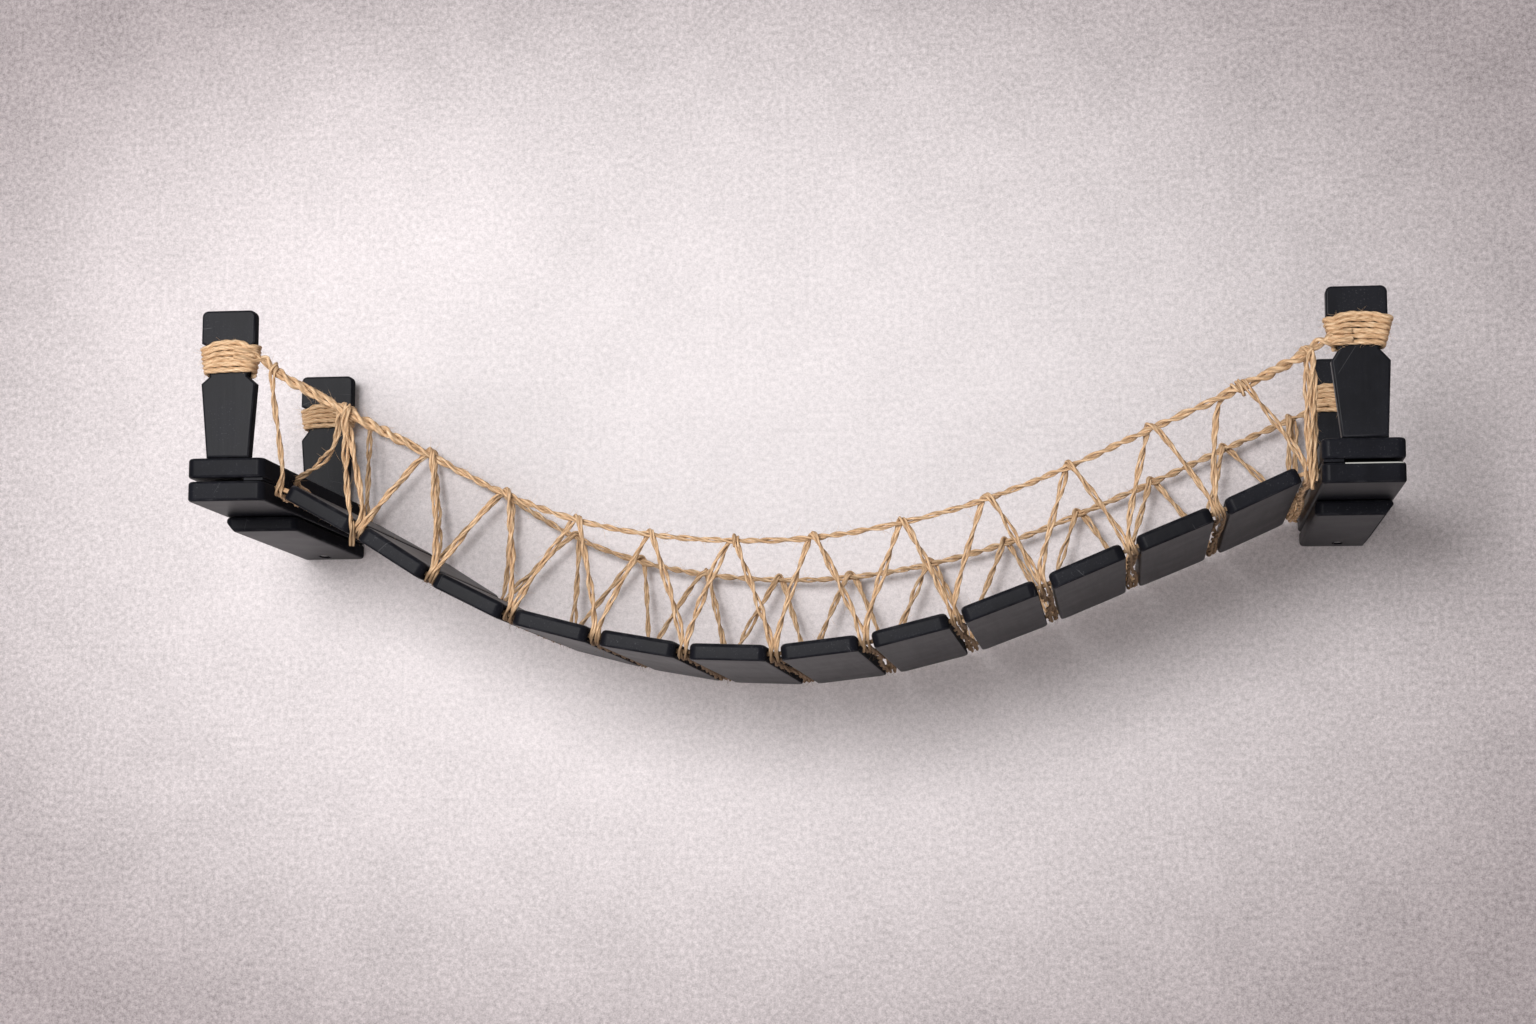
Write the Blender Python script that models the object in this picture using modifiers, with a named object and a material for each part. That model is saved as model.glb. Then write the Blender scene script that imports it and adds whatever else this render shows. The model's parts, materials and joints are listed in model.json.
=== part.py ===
"""Cat wall bridge: two wall platforms, a hanging deck of rocking slats, and laced twine sides.

Metres, +X along the wall to the right, +Y into the wall, +Z up. The origin is the middle of
the left wall bracket's back face, so the wall is the plane y = 0.
"""

import math

import bmesh
import bpy
from mathutils import Matrix, Vector

# Whole bridge
PLATFORM_SPACING = 0.8065  # centre to centre
SEAT = 0.0003  # gap between pieces that touch
OVERRUN = 0.004  # how far a cutter runs past the face it opens
WELD = 0.00001  # vertices nearer than this are one
ROUND_STEPS = 12  # sides of a dowel or its hole
SCREW_STEPS = 8  # sides of a screw, its hole or a cord's bore
ARC_STEPS = 3  # steps in an outline's rounded corner

# Platform boards
BOARD_WIDTH = 0.0575
BOARD_DEPTH = 0.285
BOARD_THICKNESS = 0.0145
BOARD_CORNER = 0.006
BOARD_EDGE = 0.0022
SLIT = 0.0024  # open slit between the two boards
SPACER_WIDTH = 0.014
SPACER_INSET = 0.0012
DOWEL_DIAMETER = 0.006
DOWEL_LENGTH = 0.018
DOWEL_PLACES_SHARE = (0.3, 0.7)  # of the board's depth, from the wall

# Support block under the boards
BLOCK_THICKNESS = 0.0115
BLOCK_DEPTH = 0.197
BLOCK_INSET = 0.0010
BLOCK_EDGE = 0.0026
BLOCK_CHAMFER_WIDTH = 0.007  # off the lower edge away from the deck
BLOCK_CHAMFER_HEIGHT = 0.008
BLOCK_SCREW_PLACES_SHARE = (0.5, 0.85)  # of the block's depth, from the wall
BLOCK_SCREW_LENGTH = 0.022

# Wall bracket: a back plate with a tongue that enters under the lower board
PLATE_WIDTH = 0.040
PLATE_HEIGHT = 0.022
PLATE_THICKNESS = 0.003
PLATE_ABOVE_BLOCK = 0.002  # plate's middle above the block's top
TONGUE_LENGTH = 0.060
TONGUE_THICKNESS = 0.003
WALL_HOLE_DIAMETER = 0.0045
WALL_HOLE_HEAD = 0.0080
WALL_HOLE_SPACING = 0.026
WALL_HOLE_RAISE = 0.0055  # above the plate's middle
LOCK_SLOT_WIDTH = 0.008
LOCK_SLOT_LENGTH = 0.018
LOCK_SLOT_DEPTH = 0.0036
LOCK_SLOT_FROM_WALL = 0.013
LOCK_SHANK_DIAMETER = 0.0035
LOCK_HEAD_DIAMETER = 0.0068
LOCK_HEAD_HEIGHT = 0.0024

# Posts
POST_HEIGHT = 0.106
POST_THICKNESS = 0.011
POST_EDGE = 0.0012
HEAD_WIDTH = 0.0394
HEAD_CORNER = 0.0045
HEAD_BOTTOM = 0.0866  # underside of the head's ledge, above the post's foot
NOTCH_TOP = 0.0850
NOTCH_TOP_WIDTH = 0.0350
NECK_HEIGHT = 0.0578
NECK_WIDTH = 0.0282
SHOULDER_HEIGHT = 0.0520
FOOT_WIDTH = 0.0312
FRONT_POST_INSET = 0.0015  # from the board's front to the front post's face
BACK_POST_INSET = 0.0120  # from the wall to the back post's rear face
POST_SCREW_SPACING = 0.015
POST_SCREW_LENGTH = 0.035

# Countersunk wood screws, for the posts and the block
SCREW_DIAMETER = 0.003
SCREW_HEAD_DIAMETER = 0.0066
SCREW_HEAD_HEIGHT = 0.0020
SCREW_PLAY = 0.0005  # radial, round a shank

# Twine, its windings on the posts, and the lacing
TWINE_DIAMETER = 0.0036
WINDING_TURNS = {"left_front": 6, "left_back": 5, "right_front": 6, "right_back": 6}
WINDING_PITCH = 0.00405
SIDE_POINTS = 4  # per side of a loop: its middle, and three round the corner after it
LACE_TURN_GAP = 0.0005  # lacing to what it turns round
LACE_RISE = 0.0090  # straight way up through a gap, from the deck cords
LACE_SIDE_GAP = 0.0003  # between the two twines in a gap
LACE_CROSS_SHARE = 0.4  # of the way over, where the twines part again under the deck cords
WRAP_ANGLES = (205, 150, 90, 30, -25)  # degrees round the handrail, outside to inside
WRAP_SHIFT = 0.0030  # along the handrail, over one wrap

# Handrails, twisted from two twines
RAIL_DIAMETER = 0.0062
FRONT_RAIL_STARTS = (0.0745, 0.0700)  # above the board, left and right
BACK_RAIL_STARTS = (0.0715, 0.0600)
FRONT_RAIL_SAG = 0.137  # below the straight line between its ends
BACK_RAIL_SAG = 0.132
RAIL_LEAD = 0.004  # level stretch at each end, square to the winding
RAIL_STEPS = 2  # tube pieces between two knots
KNOT_PLACE_SHARES = (
    0.016, 0.0855, 0.168, 0.241, 0.309, 0.378, 0.455,
    0.529, 0.611, 0.688, 0.763, 0.838, 0.912, 0.979)
FRONT_DROP_SHARES = (
    0.069, 0.292, 0.536, 0.745, 0.886, 0.965, 1.0,
    0.989, 0.915, 0.799, 0.638, 0.448, 0.261, 0.068)
BACK_DROP_SHARES = (
    0.042, 0.238, 0.496, 0.743, 0.889, 0.967, 1.0,
    0.983, 0.902, 0.777, 0.604, 0.413, 0.213, 0.038)

# Deck: slats threaded on two cords
SLAT_WIDTH = 0.0550
SLAT_LENGTH = 0.246
SLAT_THICKNESS = 0.012
SLAT_CORNER = 0.006
SLAT_EDGE = 0.0020
SLAT_ROCK = 4.0  # degrees each way
LEAST_GAP = 0.0085
LEFT_END_GAP = 0.0115  # platform to first slat, along the cord
RIGHT_END_GAP = 0.0145
GAP_SPREAD_SHARE = 0.13  # gaps grow this much from the middle to the right end
SLAT_TILTS = (-29, -32.5, -26.5, -14.5, -10, -2, 6.5, 14, 20.5, 22.5, 22, 24)  # degrees
DECK_CORD_DIAMETER = 0.0035
DECK_CORD_INSET = 0.011  # from a slat's end
CORD_PLAY = 0.0003
CORD_RUN = 0.020  # along the slit, to the anchor bore
CORD_BEND = 0.004
CORD_DEPTH = 0.011  # down the anchor bore, from the board's top

# Levels and rows worked out from the sizes above
BLOCK_TOP = -PLATE_ABOVE_BLOCK - SEAT
BLOCK_BOTTOM = -PLATE_ABOVE_BLOCK - BLOCK_THICKNESS
LOWER_BOTTOM = -PLATE_ABOVE_BLOCK
LOWER_TOP = LOWER_BOTTOM + BOARD_THICKNESS
TOP_BOTTOM = LOWER_TOP + SLIT
DECK_TOP = TOP_BOTTOM + BOARD_THICKNESS
FOOT_LEVEL = DECK_TOP + SEAT
POST_ROWS = {
    "front": -BOARD_DEPTH + FRONT_POST_INSET + POST_THICKNESS / 2,
    "back": -BACK_POST_INSET - POST_THICKNESS / 2,
}
DECK_MIDDLE = -BOARD_DEPTH / 2
CORD_ROWS = {
    "front": DECK_MIDDLE - SLAT_LENGTH / 2 + DECK_CORD_INSET,
    "back": DECK_MIDDLE + SLAT_LENGTH / 2 - DECK_CORD_INSET,
}
OUTWARD = {"front": -1, "back": 1}
SIDES = {"left": (0.0, 1), "right": (PLATFORM_SPACING, -1)}  # centre, way to the deck
CORD_RADIUS = DECK_CORD_DIAMETER / 2
TWINE_RADIUS = TWINE_DIAMETER / 2
LOOP_POINTS = 4 * SIDE_POINTS
TWINE_GRIP = TWINE_RADIUS + 2 * SEAT  # from a post's face to the middle of the twine on it
RAIL_RADIUS = RAIL_DIAMETER / 2
RAILS = {
    "front": (FRONT_RAIL_STARTS, FRONT_RAIL_SAG, FRONT_DROP_SHARES),
    "back": (BACK_RAIL_STARTS, BACK_RAIL_SAG, BACK_DROP_SHARES),
}
CORD_LEVEL = LOWER_TOP - SEAT - CORD_RADIUS


# Building helpers

def make_collection(name):
    collection = bpy.data.collections.new(name)
    bpy.context.scene.collection.children.link(collection)
    return collection


def make_material(name, colour, roughness, metallic=0.0):
    material = bpy.data.materials.new(name)
    material.use_nodes = True
    shader = material.node_tree.nodes["Principled BSDF"]
    shader.inputs["Base Color"].default_value = (*colour, 1)
    shader.inputs["Roughness"].default_value = roughness
    shader.inputs["Metallic"].default_value = metallic
    return material


def add_mesh(name, mesh, material):
    """A part with this mesh, or a cutter when it has no material."""
    part = bpy.data.objects.new(name, mesh)
    if material is None:
        CUTTERS.objects.link(part)
        part.hide_render = True
        part.display_type = "WIRE"
    else:
        PARTS.objects.link(part)
        mesh.materials.append(material)
    return part


def cut(part, cutter):
    modifier = part.modifiers.new(cutter.name, "BOOLEAN")
    modifier.operation = "DIFFERENCE"
    modifier.solver = "EXACT"
    modifier.object = cutter


def add_box(name, low, high, material=None):
    """A box between two corners."""
    mesh = bpy.data.meshes.new(name)
    shape = bmesh.new()
    size = Vector(high) - Vector(low)
    middle = (Vector(high) + Vector(low)) / 2
    bmesh.ops.create_cube(shape, size=1, matrix=Matrix.Translation(middle) @ Matrix.Diagonal((*size, 1)))
    shape.to_mesh(mesh)
    shape.free()
    return add_mesh(name, mesh, material)


def chamfer_cutter(name, edge, width, height, length):
    """A wedge that takes a chamfer off the lower edge at (x, z), running from the wall outwards."""
    across = Vector((edge[0] - width, edge[1]))
    up = Vector((edge[0], edge[1] + height))
    beyond = (up - across).normalized() * OVERRUN
    across, up = across - beyond, up + beyond
    corners = [(place[0], y, place[1]) for y in (OVERRUN, -length - OVERRUN)
               for place in (across, up, (up.x, across.y))]
    mesh = bpy.data.meshes.new(name)
    mesh.from_pydata(corners, [], [(0, 1, 2), (5, 4, 3), (0, 3, 4, 1), (1, 4, 5, 2), (2, 5, 3, 0)])
    shape = bmesh.new()
    shape.from_mesh(mesh)
    bmesh.ops.recalc_face_normals(shape, faces=shape.faces)
    shape.to_mesh(mesh)
    shape.free()
    return add_mesh(name, mesh, None)


def rounded_outline(corners):
    """The closed outline through corners (x, y, radius), each rounded to its radius."""
    points = []
    count = len(corners)
    for index, (x, y, radius) in enumerate(corners):
        here = Vector((x, y))
        if radius == 0:
            points.append(here)
            continue
        back = (Vector(corners[index - 1][:2]) - here).normalized()
        ahead = (Vector(corners[(index + 1) % count][:2]) - here).normalized()
        half = back.angle(ahead) / 2
        middle = here + (back + ahead).normalized() * (radius / math.sin(half))
        start = here + back * (radius / math.tan(half)) - middle
        end = here + ahead * (radius / math.tan(half)) - middle
        turn = math.atan2(start.cross(end), start.dot(end))
        for step in range(ARC_STEPS + 1):
            points.append(middle + Matrix.Rotation(turn * step / ARC_STEPS, 2) @ start)
    return points


def rectangle(width, depth, radius):
    """Corners of a rounded rectangle about the origin."""
    x, y = width / 2, depth / 2
    return [(-x, -y, radius), (x, -y, radius), (x, y, radius), (-x, y, radius)]


def curve_to_mesh(curve, name):
    """The welded mesh of a curve, whose object and data are then removed."""
    holder = bpy.data.objects.new(name, curve)
    PARTS.objects.link(holder)
    graph = bpy.context.evaluated_depsgraph_get()
    mesh = bpy.data.meshes.new_from_object(holder.evaluated_get(graph))
    mesh.name = name
    bpy.data.objects.remove(holder)
    bpy.data.curves.remove(curve)
    shape = bmesh.new()
    shape.from_mesh(mesh)
    bmesh.ops.remove_doubles(shape, verts=shape.verts, dist=WELD)
    bmesh.ops.recalc_face_normals(shape, faces=shape.faces)
    shape.to_mesh(mesh)
    shape.free()
    mesh.materials.clear()
    return mesh


def extrude_outline(name, corners, thickness, edge, rounds=1):
    """A flat plate from an outline in XY, centred on z = 0, with its edges eased."""
    curve = bpy.data.curves.new(name, "CURVE")
    curve.dimensions = "2D"
    curve.fill_mode = "BOTH"
    curve.extrude = thickness / 2 - edge
    curve.bevel_depth = edge
    curve.bevel_resolution = rounds
    curve.offset = -edge
    outline = rounded_outline(corners)
    spline = curve.splines.new("POLY")
    spline.points.add(len(outline) - 1)
    for point, place in zip(spline.points, outline):
        point.co = (*place, 0, 1)
    spline.use_cyclic_u = True
    return curve_to_mesh(curve, name)


def turned(name, profile, place, steps, material=None):
    """A piece turned about a vertical axis at place; the profile (radius, height) runs down."""
    mesh = bpy.data.meshes.new(name)
    line = [(radius, 0, height) for radius, height in profile]
    mesh.from_pydata(line, [(i, i + 1) for i in range(len(line) - 1)], [])
    part = add_mesh(name, mesh, material)
    part.location = place
    screw = part.modifiers.new("Turn", "SCREW")
    screw.steps = steps
    screw.render_steps = steps
    screw.use_merge_vertices = True
    screw.merge_threshold = WELD
    return part


def clear_radius(radius, play, steps):
    """The corner radius of a faceted hole whose flats clear a round piece by the play."""
    return (radius + play) / math.cos(math.pi / steps)


def make_tube(name, points, radius, resolution, material):
    """A round tube along a route, as a curve object."""
    curve = bpy.data.curves.new(name, "CURVE")
    curve.dimensions = "3D"
    curve.bevel_depth = radius
    curve.bevel_resolution = resolution
    curve.use_fill_caps = True
    spline = curve.splines.new("POLY")
    spline.points.add(len(points) - 1)
    for point, place in zip(spline.points, points):
        point.co = (*place, 1)
    spline.use_smooth = True
    part = bpy.data.objects.new(name, curve)
    PARTS.objects.link(part)
    curve.materials.append(material)
    return part


def tube_cutter(name, points, radius):
    """A tube along a route, welded so that it can cut."""
    curve = bpy.data.curves.new(name, "CURVE")
    curve.dimensions = "3D"
    curve.bevel_depth = radius
    curve.bevel_resolution = 2
    curve.use_fill_caps = True
    spline = curve.splines.new("POLY")
    spline.points.add(len(points) - 1)
    for point, place in zip(spline.points, points):
        point.co = (*place, 1)
    return add_mesh(name, curve_to_mesh(curve, name), None)


def between(low, high, share):
    return low + (high - low) * share


def read_table(table, share):
    """A table's value at a share of its length, straight between its entries."""
    place = min(max(share, 0), 1) * (len(table) - 1)
    index = min(int(place), len(table) - 2)
    return between(table[index], table[index + 1], place - index)


def smooth_route(points, steps):
    """Points of a smooth curve through a route's own points."""
    route = [points[0] * 2 - points[1], *points, points[-1] * 2 - points[-2]]
    curve = []
    for a, b, c, d in zip(route, route[1:], route[2:], route[3:]):
        for step in range(steps):
            t = step / steps
            curve.append((b * 2 + (c - a) * t + (a * 2 - b * 5 + c * 4 - d) * t * t
                          + (b * 3 - a - c * 3 + d) * t ** 3) / 2)
    curve.append(points[-1])
    return curve


# Platforms

def screw_hole(part, name, place, length, up):
    """A countersunk hole round a wood screw, its head at place, running up or down."""
    radius = clear_radius(SCREW_DIAMETER / 2, SCREW_PLAY, SCREW_STEPS)
    head = clear_radius(SCREW_HEAD_DIAMETER / 2, SCREW_PLAY, SCREW_STEPS)
    profile = [(0, OVERRUN), (head, OVERRUN), (head, 0), (radius, -SCREW_HEAD_HEIGHT),
               (radius, -length - 2 * SEAT), (0, -length - 2 * SEAT)]
    hole = turned(name, profile, place, SCREW_STEPS)
    if up:
        hole.rotation_euler.x = math.pi
    cut(part, hole)


def wood_screw(name, place, length, up):
    """A countersunk wood screw with its head at place, driven up or down."""
    head, shank = SCREW_HEAD_DIAMETER / 2, SCREW_DIAMETER / 2
    profile = [(0, 0), (head, 0), (shank, -SCREW_HEAD_HEIGHT), (shank, -length), (0, -length)]
    screw = turned(name, profile, place, SCREW_STEPS, STEEL)
    if up:
        screw.rotation_euler.x = math.pi


def make_board(name, bottom, centre):
    mesh = extrude_outline(
        name, rectangle(BOARD_WIDTH, BOARD_DEPTH, BOARD_CORNER), BOARD_THICKNESS, BOARD_EDGE)
    board = add_mesh(name, mesh, PAINT["board"])
    board.location = (centre, -BOARD_DEPTH / 2, bottom + BOARD_THICKNESS / 2)
    return board


def dowel_places(centre, way):
    x = centre + way * (BOARD_WIDTH / 2 - SPACER_INSET - SPACER_WIDTH / 2)
    return [(x, -share * BOARD_DEPTH) for share in DOWEL_PLACES_SHARE]


def post_screw_places(centre):
    return [(centre + side * POST_SCREW_SPACING / 2, row)
            for row in POST_ROWS.values() for side in (-1, 1)]


def block_screw_places(centre):
    return [(centre, -share * BLOCK_DEPTH) for share in BLOCK_SCREW_PLACES_SHARE]


def make_dowels(side, centre, way):
    """Beech dowels that carry the top board over the slit."""
    radius, half = DOWEL_DIAMETER / 2, DOWEL_LENGTH / 2
    for number, (x, y) in enumerate(dowel_places(centre, way), 1):
        profile = [(0, half), (radius, half), (radius, -half), (0, -half)]
        turned(f"{side}_board_dowel_{number}", profile, (x, y, (LOWER_TOP + TOP_BOTTOM) / 2),
               ROUND_STEPS, BEECH)


def dowel_holes(part, side, centre, way):
    radius = clear_radius(DOWEL_DIAMETER / 2, SEAT, ROUND_STEPS)
    half = DOWEL_LENGTH / 2 + SEAT
    level = (LOWER_TOP + TOP_BOTTOM) / 2
    for number, (x, y) in enumerate(dowel_places(centre, way), 1):
        profile = [(0, half), (radius, half), (radius, -half), (0, -half)]
        cut(part, turned(f"cut_{part.name}_dowel_{number}", profile, (x, y, level), ROUND_STEPS))


def make_spacer(side, centre, way):
    """A strip that closes the slit on the deck's side, over the deck cords' channels."""
    low_x, high_x = sorted((
        centre + way * (BOARD_WIDTH / 2 - SPACER_INSET),
        centre + way * (BOARD_WIDTH / 2 - SPACER_INSET - SPACER_WIDTH)))
    spacer = add_box(
        side + "_spacer", (low_x, -BOARD_DEPTH + SPACER_INSET, LOWER_TOP + SEAT),
        (high_x, -SPACER_INSET, TOP_BOTTOM - SEAT), PAINT["spacer"])
    dowel_holes(spacer, side, centre, way)


def make_bracket(side, centre):
    """Back plate and tongue in one steel section, cut to length across the platform."""
    name = side + "_wall_bracket"
    tongue_top = LOWER_BOTTOM - SEAT
    front = -PLATE_THICKNESS
    half = PLATE_HEIGHT / 2
    section = [
        (0, half, 0), (0, -half, 0), (front, -half, 0),
        (front, tongue_top - TONGUE_THICKNESS, 0),
        (-TONGUE_LENGTH, tongue_top - TONGUE_THICKNESS, 0),
        (-TONGUE_LENGTH, tongue_top, 0), (front, tongue_top, 0), (front, half, 0)]
    curve = bpy.data.curves.new(name, "CURVE")
    curve.dimensions = "2D"
    curve.fill_mode = "BOTH"
    curve.extrude = PLATE_WIDTH / 2
    spline = curve.splines.new("POLY")
    spline.points.add(len(section) - 1)
    for point, place in zip(spline.points, section):
        point.co = (*place, 1)
    spline.use_cyclic_u = True
    mesh = curve_to_mesh(curve, name)
    mesh.transform(Matrix(((0, 0, 1, 0), (1, 0, 0, 0), (0, 1, 0, 0), (0, 0, 0, 1))))
    bracket = add_mesh(name, mesh, STEEL)
    bracket.location.x = centre
    radius, head = WALL_HOLE_DIAMETER / 2, WALL_HOLE_HEAD / 2
    sink = head - radius
    for number, way in enumerate((-1, 1), 1):
        profile = [(0, OVERRUN), (head, OVERRUN), (head, 0), (radius, -sink),
                   (radius, -PLATE_THICKNESS - OVERRUN), (0, -PLATE_THICKNESS - OVERRUN)]
        place = (centre + way * WALL_HOLE_SPACING / 2, -PLATE_THICKNESS, WALL_HOLE_RAISE)
        hole = turned(f"cut_{name}_wall_hole_{number}", profile, place, SCREW_STEPS)
        hole.rotation_euler.x = math.pi / 2
        cut(bracket, hole)
    radius = clear_radius(LOCK_SHANK_DIAMETER / 2, SCREW_PLAY, SCREW_STEPS)
    profile = [(0, OVERRUN), (radius, OVERRUN), (radius, -TONGUE_THICKNESS - OVERRUN),
               (0, -TONGUE_THICKNESS - OVERRUN)]
    place = (centre, lock_row(), tongue_top)
    cut(bracket, turned(f"cut_{name}_lock_hole", profile, place, SCREW_STEPS))


def lock_row():
    """How far out from the wall the locking screw stands, as y."""
    return -LOCK_SLOT_FROM_WALL - LOCK_SLOT_LENGTH / 2


def bracket_recess(part, centre):
    """Room for the bracket's plate in the back of a board or block."""
    side = PLATE_WIDTH / 2 + SEAT
    half = PLATE_HEIGHT / 2 + SEAT
    cut(part, add_box(f"cut_{part.name}_plate", (centre - side, -PLATE_THICKNESS - SEAT, -half),
                      (centre + side, OVERRUN, half)))


def make_block(side, centre, way):
    name = side + "_support_block"
    width = BOARD_WIDTH - 2 * BLOCK_INSET
    thickness = BLOCK_TOP - BLOCK_BOTTOM
    mesh = extrude_outline(name, rectangle(width, BLOCK_DEPTH, BOARD_CORNER), thickness, BLOCK_EDGE)
    block = add_mesh(name, mesh, PAINT["block"])
    block.location = (centre, -BLOCK_DEPTH / 2, (BLOCK_TOP + BLOCK_BOTTOM) / 2)
    cut(block, chamfer_cutter(f"cut_{name}_chamfer", (centre - way * width / 2, BLOCK_BOTTOM),
                              -way * BLOCK_CHAMFER_WIDTH, BLOCK_CHAMFER_HEIGHT, BLOCK_DEPTH))
    bracket_recess(block, centre)
    floor = LOWER_BOTTOM - 2 * SEAT - TONGUE_THICKNESS
    half = PLATE_WIDTH / 2 + SEAT
    cut(block, add_box(f"cut_{name}_tongue", (centre - half, -TONGUE_LENGTH - SEAT, floor),
                       (centre + half, OVERRUN, BLOCK_TOP + OVERRUN)))
    slot = add_mesh(f"cut_{name}_slot", extrude_outline(
        f"cut_{name}_slot", rectangle(LOCK_SLOT_WIDTH, LOCK_SLOT_LENGTH, LOCK_SLOT_WIDTH / 2 - SEAT),
        2 * LOCK_SLOT_DEPTH, 0), None)
    slot.location = (centre, lock_row(), BLOCK_BOTTOM)
    cut(block, slot)
    radius = clear_radius(LOCK_SHANK_DIAMETER / 2, SCREW_PLAY, SCREW_STEPS)
    low = BLOCK_BOTTOM + LOCK_SLOT_DEPTH - OVERRUN
    profile = [(0, floor + OVERRUN), (radius, floor + OVERRUN), (radius, low), (0, low)]
    cut(block, turned(f"cut_{name}_lock_hole", profile, (centre, lock_row(), 0), SCREW_STEPS))
    for number, (x, y) in enumerate(block_screw_places(centre), 1):
        screw_hole(block, f"cut_{name}_screw_{number}", (x, y, LOWER_TOP), BLOCK_SCREW_LENGTH, False)


def make_lock_screw(side, centre):
    """Pan-head screw, driven up through the block into the bracket's tongue."""
    seat = BLOCK_BOTTOM + LOCK_SLOT_DEPTH - SEAT
    top = LOWER_BOTTOM - 2 * SEAT
    shank, head = LOCK_SHANK_DIAMETER / 2, LOCK_HEAD_DIAMETER / 2
    profile = [(0, top), (shank, top), (shank, seat), (head, seat),
               (head, seat - LOCK_HEAD_HEIGHT), (0, seat - LOCK_HEAD_HEIGHT)]
    turned(side + "_locking_screw", profile, (centre, lock_row(), 0), ROUND_STEPS, STEEL)


def make_platform(side, centre, way):
    top_board = make_board(side + "_top_board", TOP_BOTTOM, centre)
    lower_board = make_board(side + "_lower_board", LOWER_BOTTOM, centre)
    dowel_holes(top_board, side, centre, way)
    dowel_holes(lower_board, side, centre, way)
    for number, (x, y) in enumerate(post_screw_places(centre), 1):
        screw_hole(top_board, f"cut_{side}_top_board_screw_{number}",
                   (x, y, TOP_BOTTOM), POST_SCREW_LENGTH, True)
    for number, (x, y) in enumerate(block_screw_places(centre), 1):
        screw_hole(lower_board, f"cut_{side}_lower_board_screw_{number}",
                   (x, y, LOWER_TOP), BLOCK_SCREW_LENGTH, False)
    bracket_recess(lower_board, centre)
    for row in CORD_ROWS:
        route = cord_anchor(side, row)
        radius = clear_radius(CORD_RADIUS, CORD_PLAY, SCREW_STEPS)
        deeper = Vector((0, 0, -CORD_PLAY))
        channel = [route[0] + deeper, *route[1:]]
        cut(lower_board, tube_cutter(f"cut_{side}_lower_board_{row}_cord", channel, radius))
    make_dowels(side, centre, way)
    make_spacer(side, centre, way)
    make_block(side, centre, way)
    make_bracket(side, centre)
    make_lock_screw(side, centre)
    for number, (x, y) in enumerate(post_screw_places(centre), 1):
        wood_screw(f"{side}_post_screw_{number}", (x, y, TOP_BOTTOM + SEAT), POST_SCREW_LENGTH, True)
    for number, (x, y) in enumerate(block_screw_places(centre), 1):
        wood_screw(f"{side}_block_screw_{number}", (x, y, LOWER_TOP - SEAT), BLOCK_SCREW_LENGTH, False)


# Posts and their windings

def half_width(height):
    """Half the post's width between its shoulder and its head's ledge."""
    if height < SHOULDER_HEIGHT:
        return between(FOOT_WIDTH, HEAD_WIDTH, height / SHOULDER_HEIGHT) / 2
    if height < NECK_HEIGHT:
        share = (height - SHOULDER_HEIGHT) / (NECK_HEIGHT - SHOULDER_HEIGHT)
        return between(HEAD_WIDTH, NECK_WIDTH, share) / 2
    share = min((height - NECK_HEIGHT) / (NOTCH_TOP - NECK_HEIGHT), 1)
    return between(NECK_WIDTH, NOTCH_TOP_WIDTH, share) / 2


def make_post(side, row, centre):
    name = f"{side}_{row}_post"
    right = [
        (FOOT_WIDTH / 2, 0, 0), (HEAD_WIDTH / 2, SHOULDER_HEIGHT, 0),
        (NECK_WIDTH / 2, NECK_HEIGHT, 0), (NOTCH_TOP_WIDTH / 2, NOTCH_TOP, 0),
        (HEAD_WIDTH / 2, HEAD_BOTTOM, 0), (HEAD_WIDTH / 2, POST_HEIGHT, HEAD_CORNER)]
    left = [(-x, height, radius) for x, height, radius in reversed(right)]
    mesh = extrude_outline(name, right + left, POST_THICKNESS, POST_EDGE)
    mesh.transform(Matrix.Rotation(math.pi / 2, 4, "X"))
    post = add_mesh(name, mesh, PAINT["post"])
    post.location = (centre, POST_ROWS[row], FOOT_LEVEL)
    for number, way in enumerate((-1, 1), 1):
        place = (centre + way * POST_SCREW_SPACING / 2, POST_ROWS[row], TOP_BOTTOM)
        screw_hole(post, f"cut_{name}_screw_{number}", place, POST_SCREW_LENGTH, True)


def winding_route(turns, way):
    """One unbroken helix of twine round a post, from the middle of its deck side, about its foot."""
    top = NOTCH_TOP - TWINE_RADIUS - SEAT
    corners = ((1, -1), (-1, -1), (-1, 1), (1, 1))
    y = POST_THICKNESS / 2 - POST_EDGE
    outer = TWINE_GRIP + POST_EDGE
    route = []
    for index in range(turns * LOOP_POINTS + 1):
        height = top - index / LOOP_POINTS * WINDING_PITCH
        x = max(half_width(height + shift) for shift in (-TWINE_RADIUS, 0, TWINE_RADIUS)) - POST_EDGE
        side, step = divmod(index % LOOP_POINTS, SIDE_POINTS)
        if step == 0:
            # The middle of a side
            turn = -math.radians(90) * side
            place = ((x + outer) * math.cos(turn), (y + outer) * math.sin(turn))
        else:
            # Round the corner after it, in two steps
            turn = -math.radians(90 * side + 45 * (step - 1))
            across, out = corners[side]
            place = (across * x + outer * math.cos(turn), out * y + outer * math.sin(turn))
        route.append(Vector((way * place[0], place[1], height)))
    return route


def least_gap(route):
    """Least distance between turns of a tube that are at least half a loop apart, less its size."""
    least = math.inf
    for index, point in enumerate(route):
        for other in route[index + LOOP_POINTS // 2:]:
            least = min(least, (point - other).length)
    return least - TWINE_DIAMETER


def make_winding(side, row, centre, way):
    name = f"{side}_{row}_winding"
    route = winding_route(WINDING_TURNS[f"{side}_{row}"], way)
    print(name, "least gap to itself", round(least_gap(route), 5))
    winding = make_tube(name, route, TWINE_RADIUS, 1, TWINE["winding"])
    winding.location = (centre, POST_ROWS[row], FOOT_LEVEL)


# Deck: where each slat, gap and knot lies, in the wall's plane (x, z)

def direction(tilt):
    return Vector((math.cos(math.radians(tilt)), math.sin(math.radians(tilt))))


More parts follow.
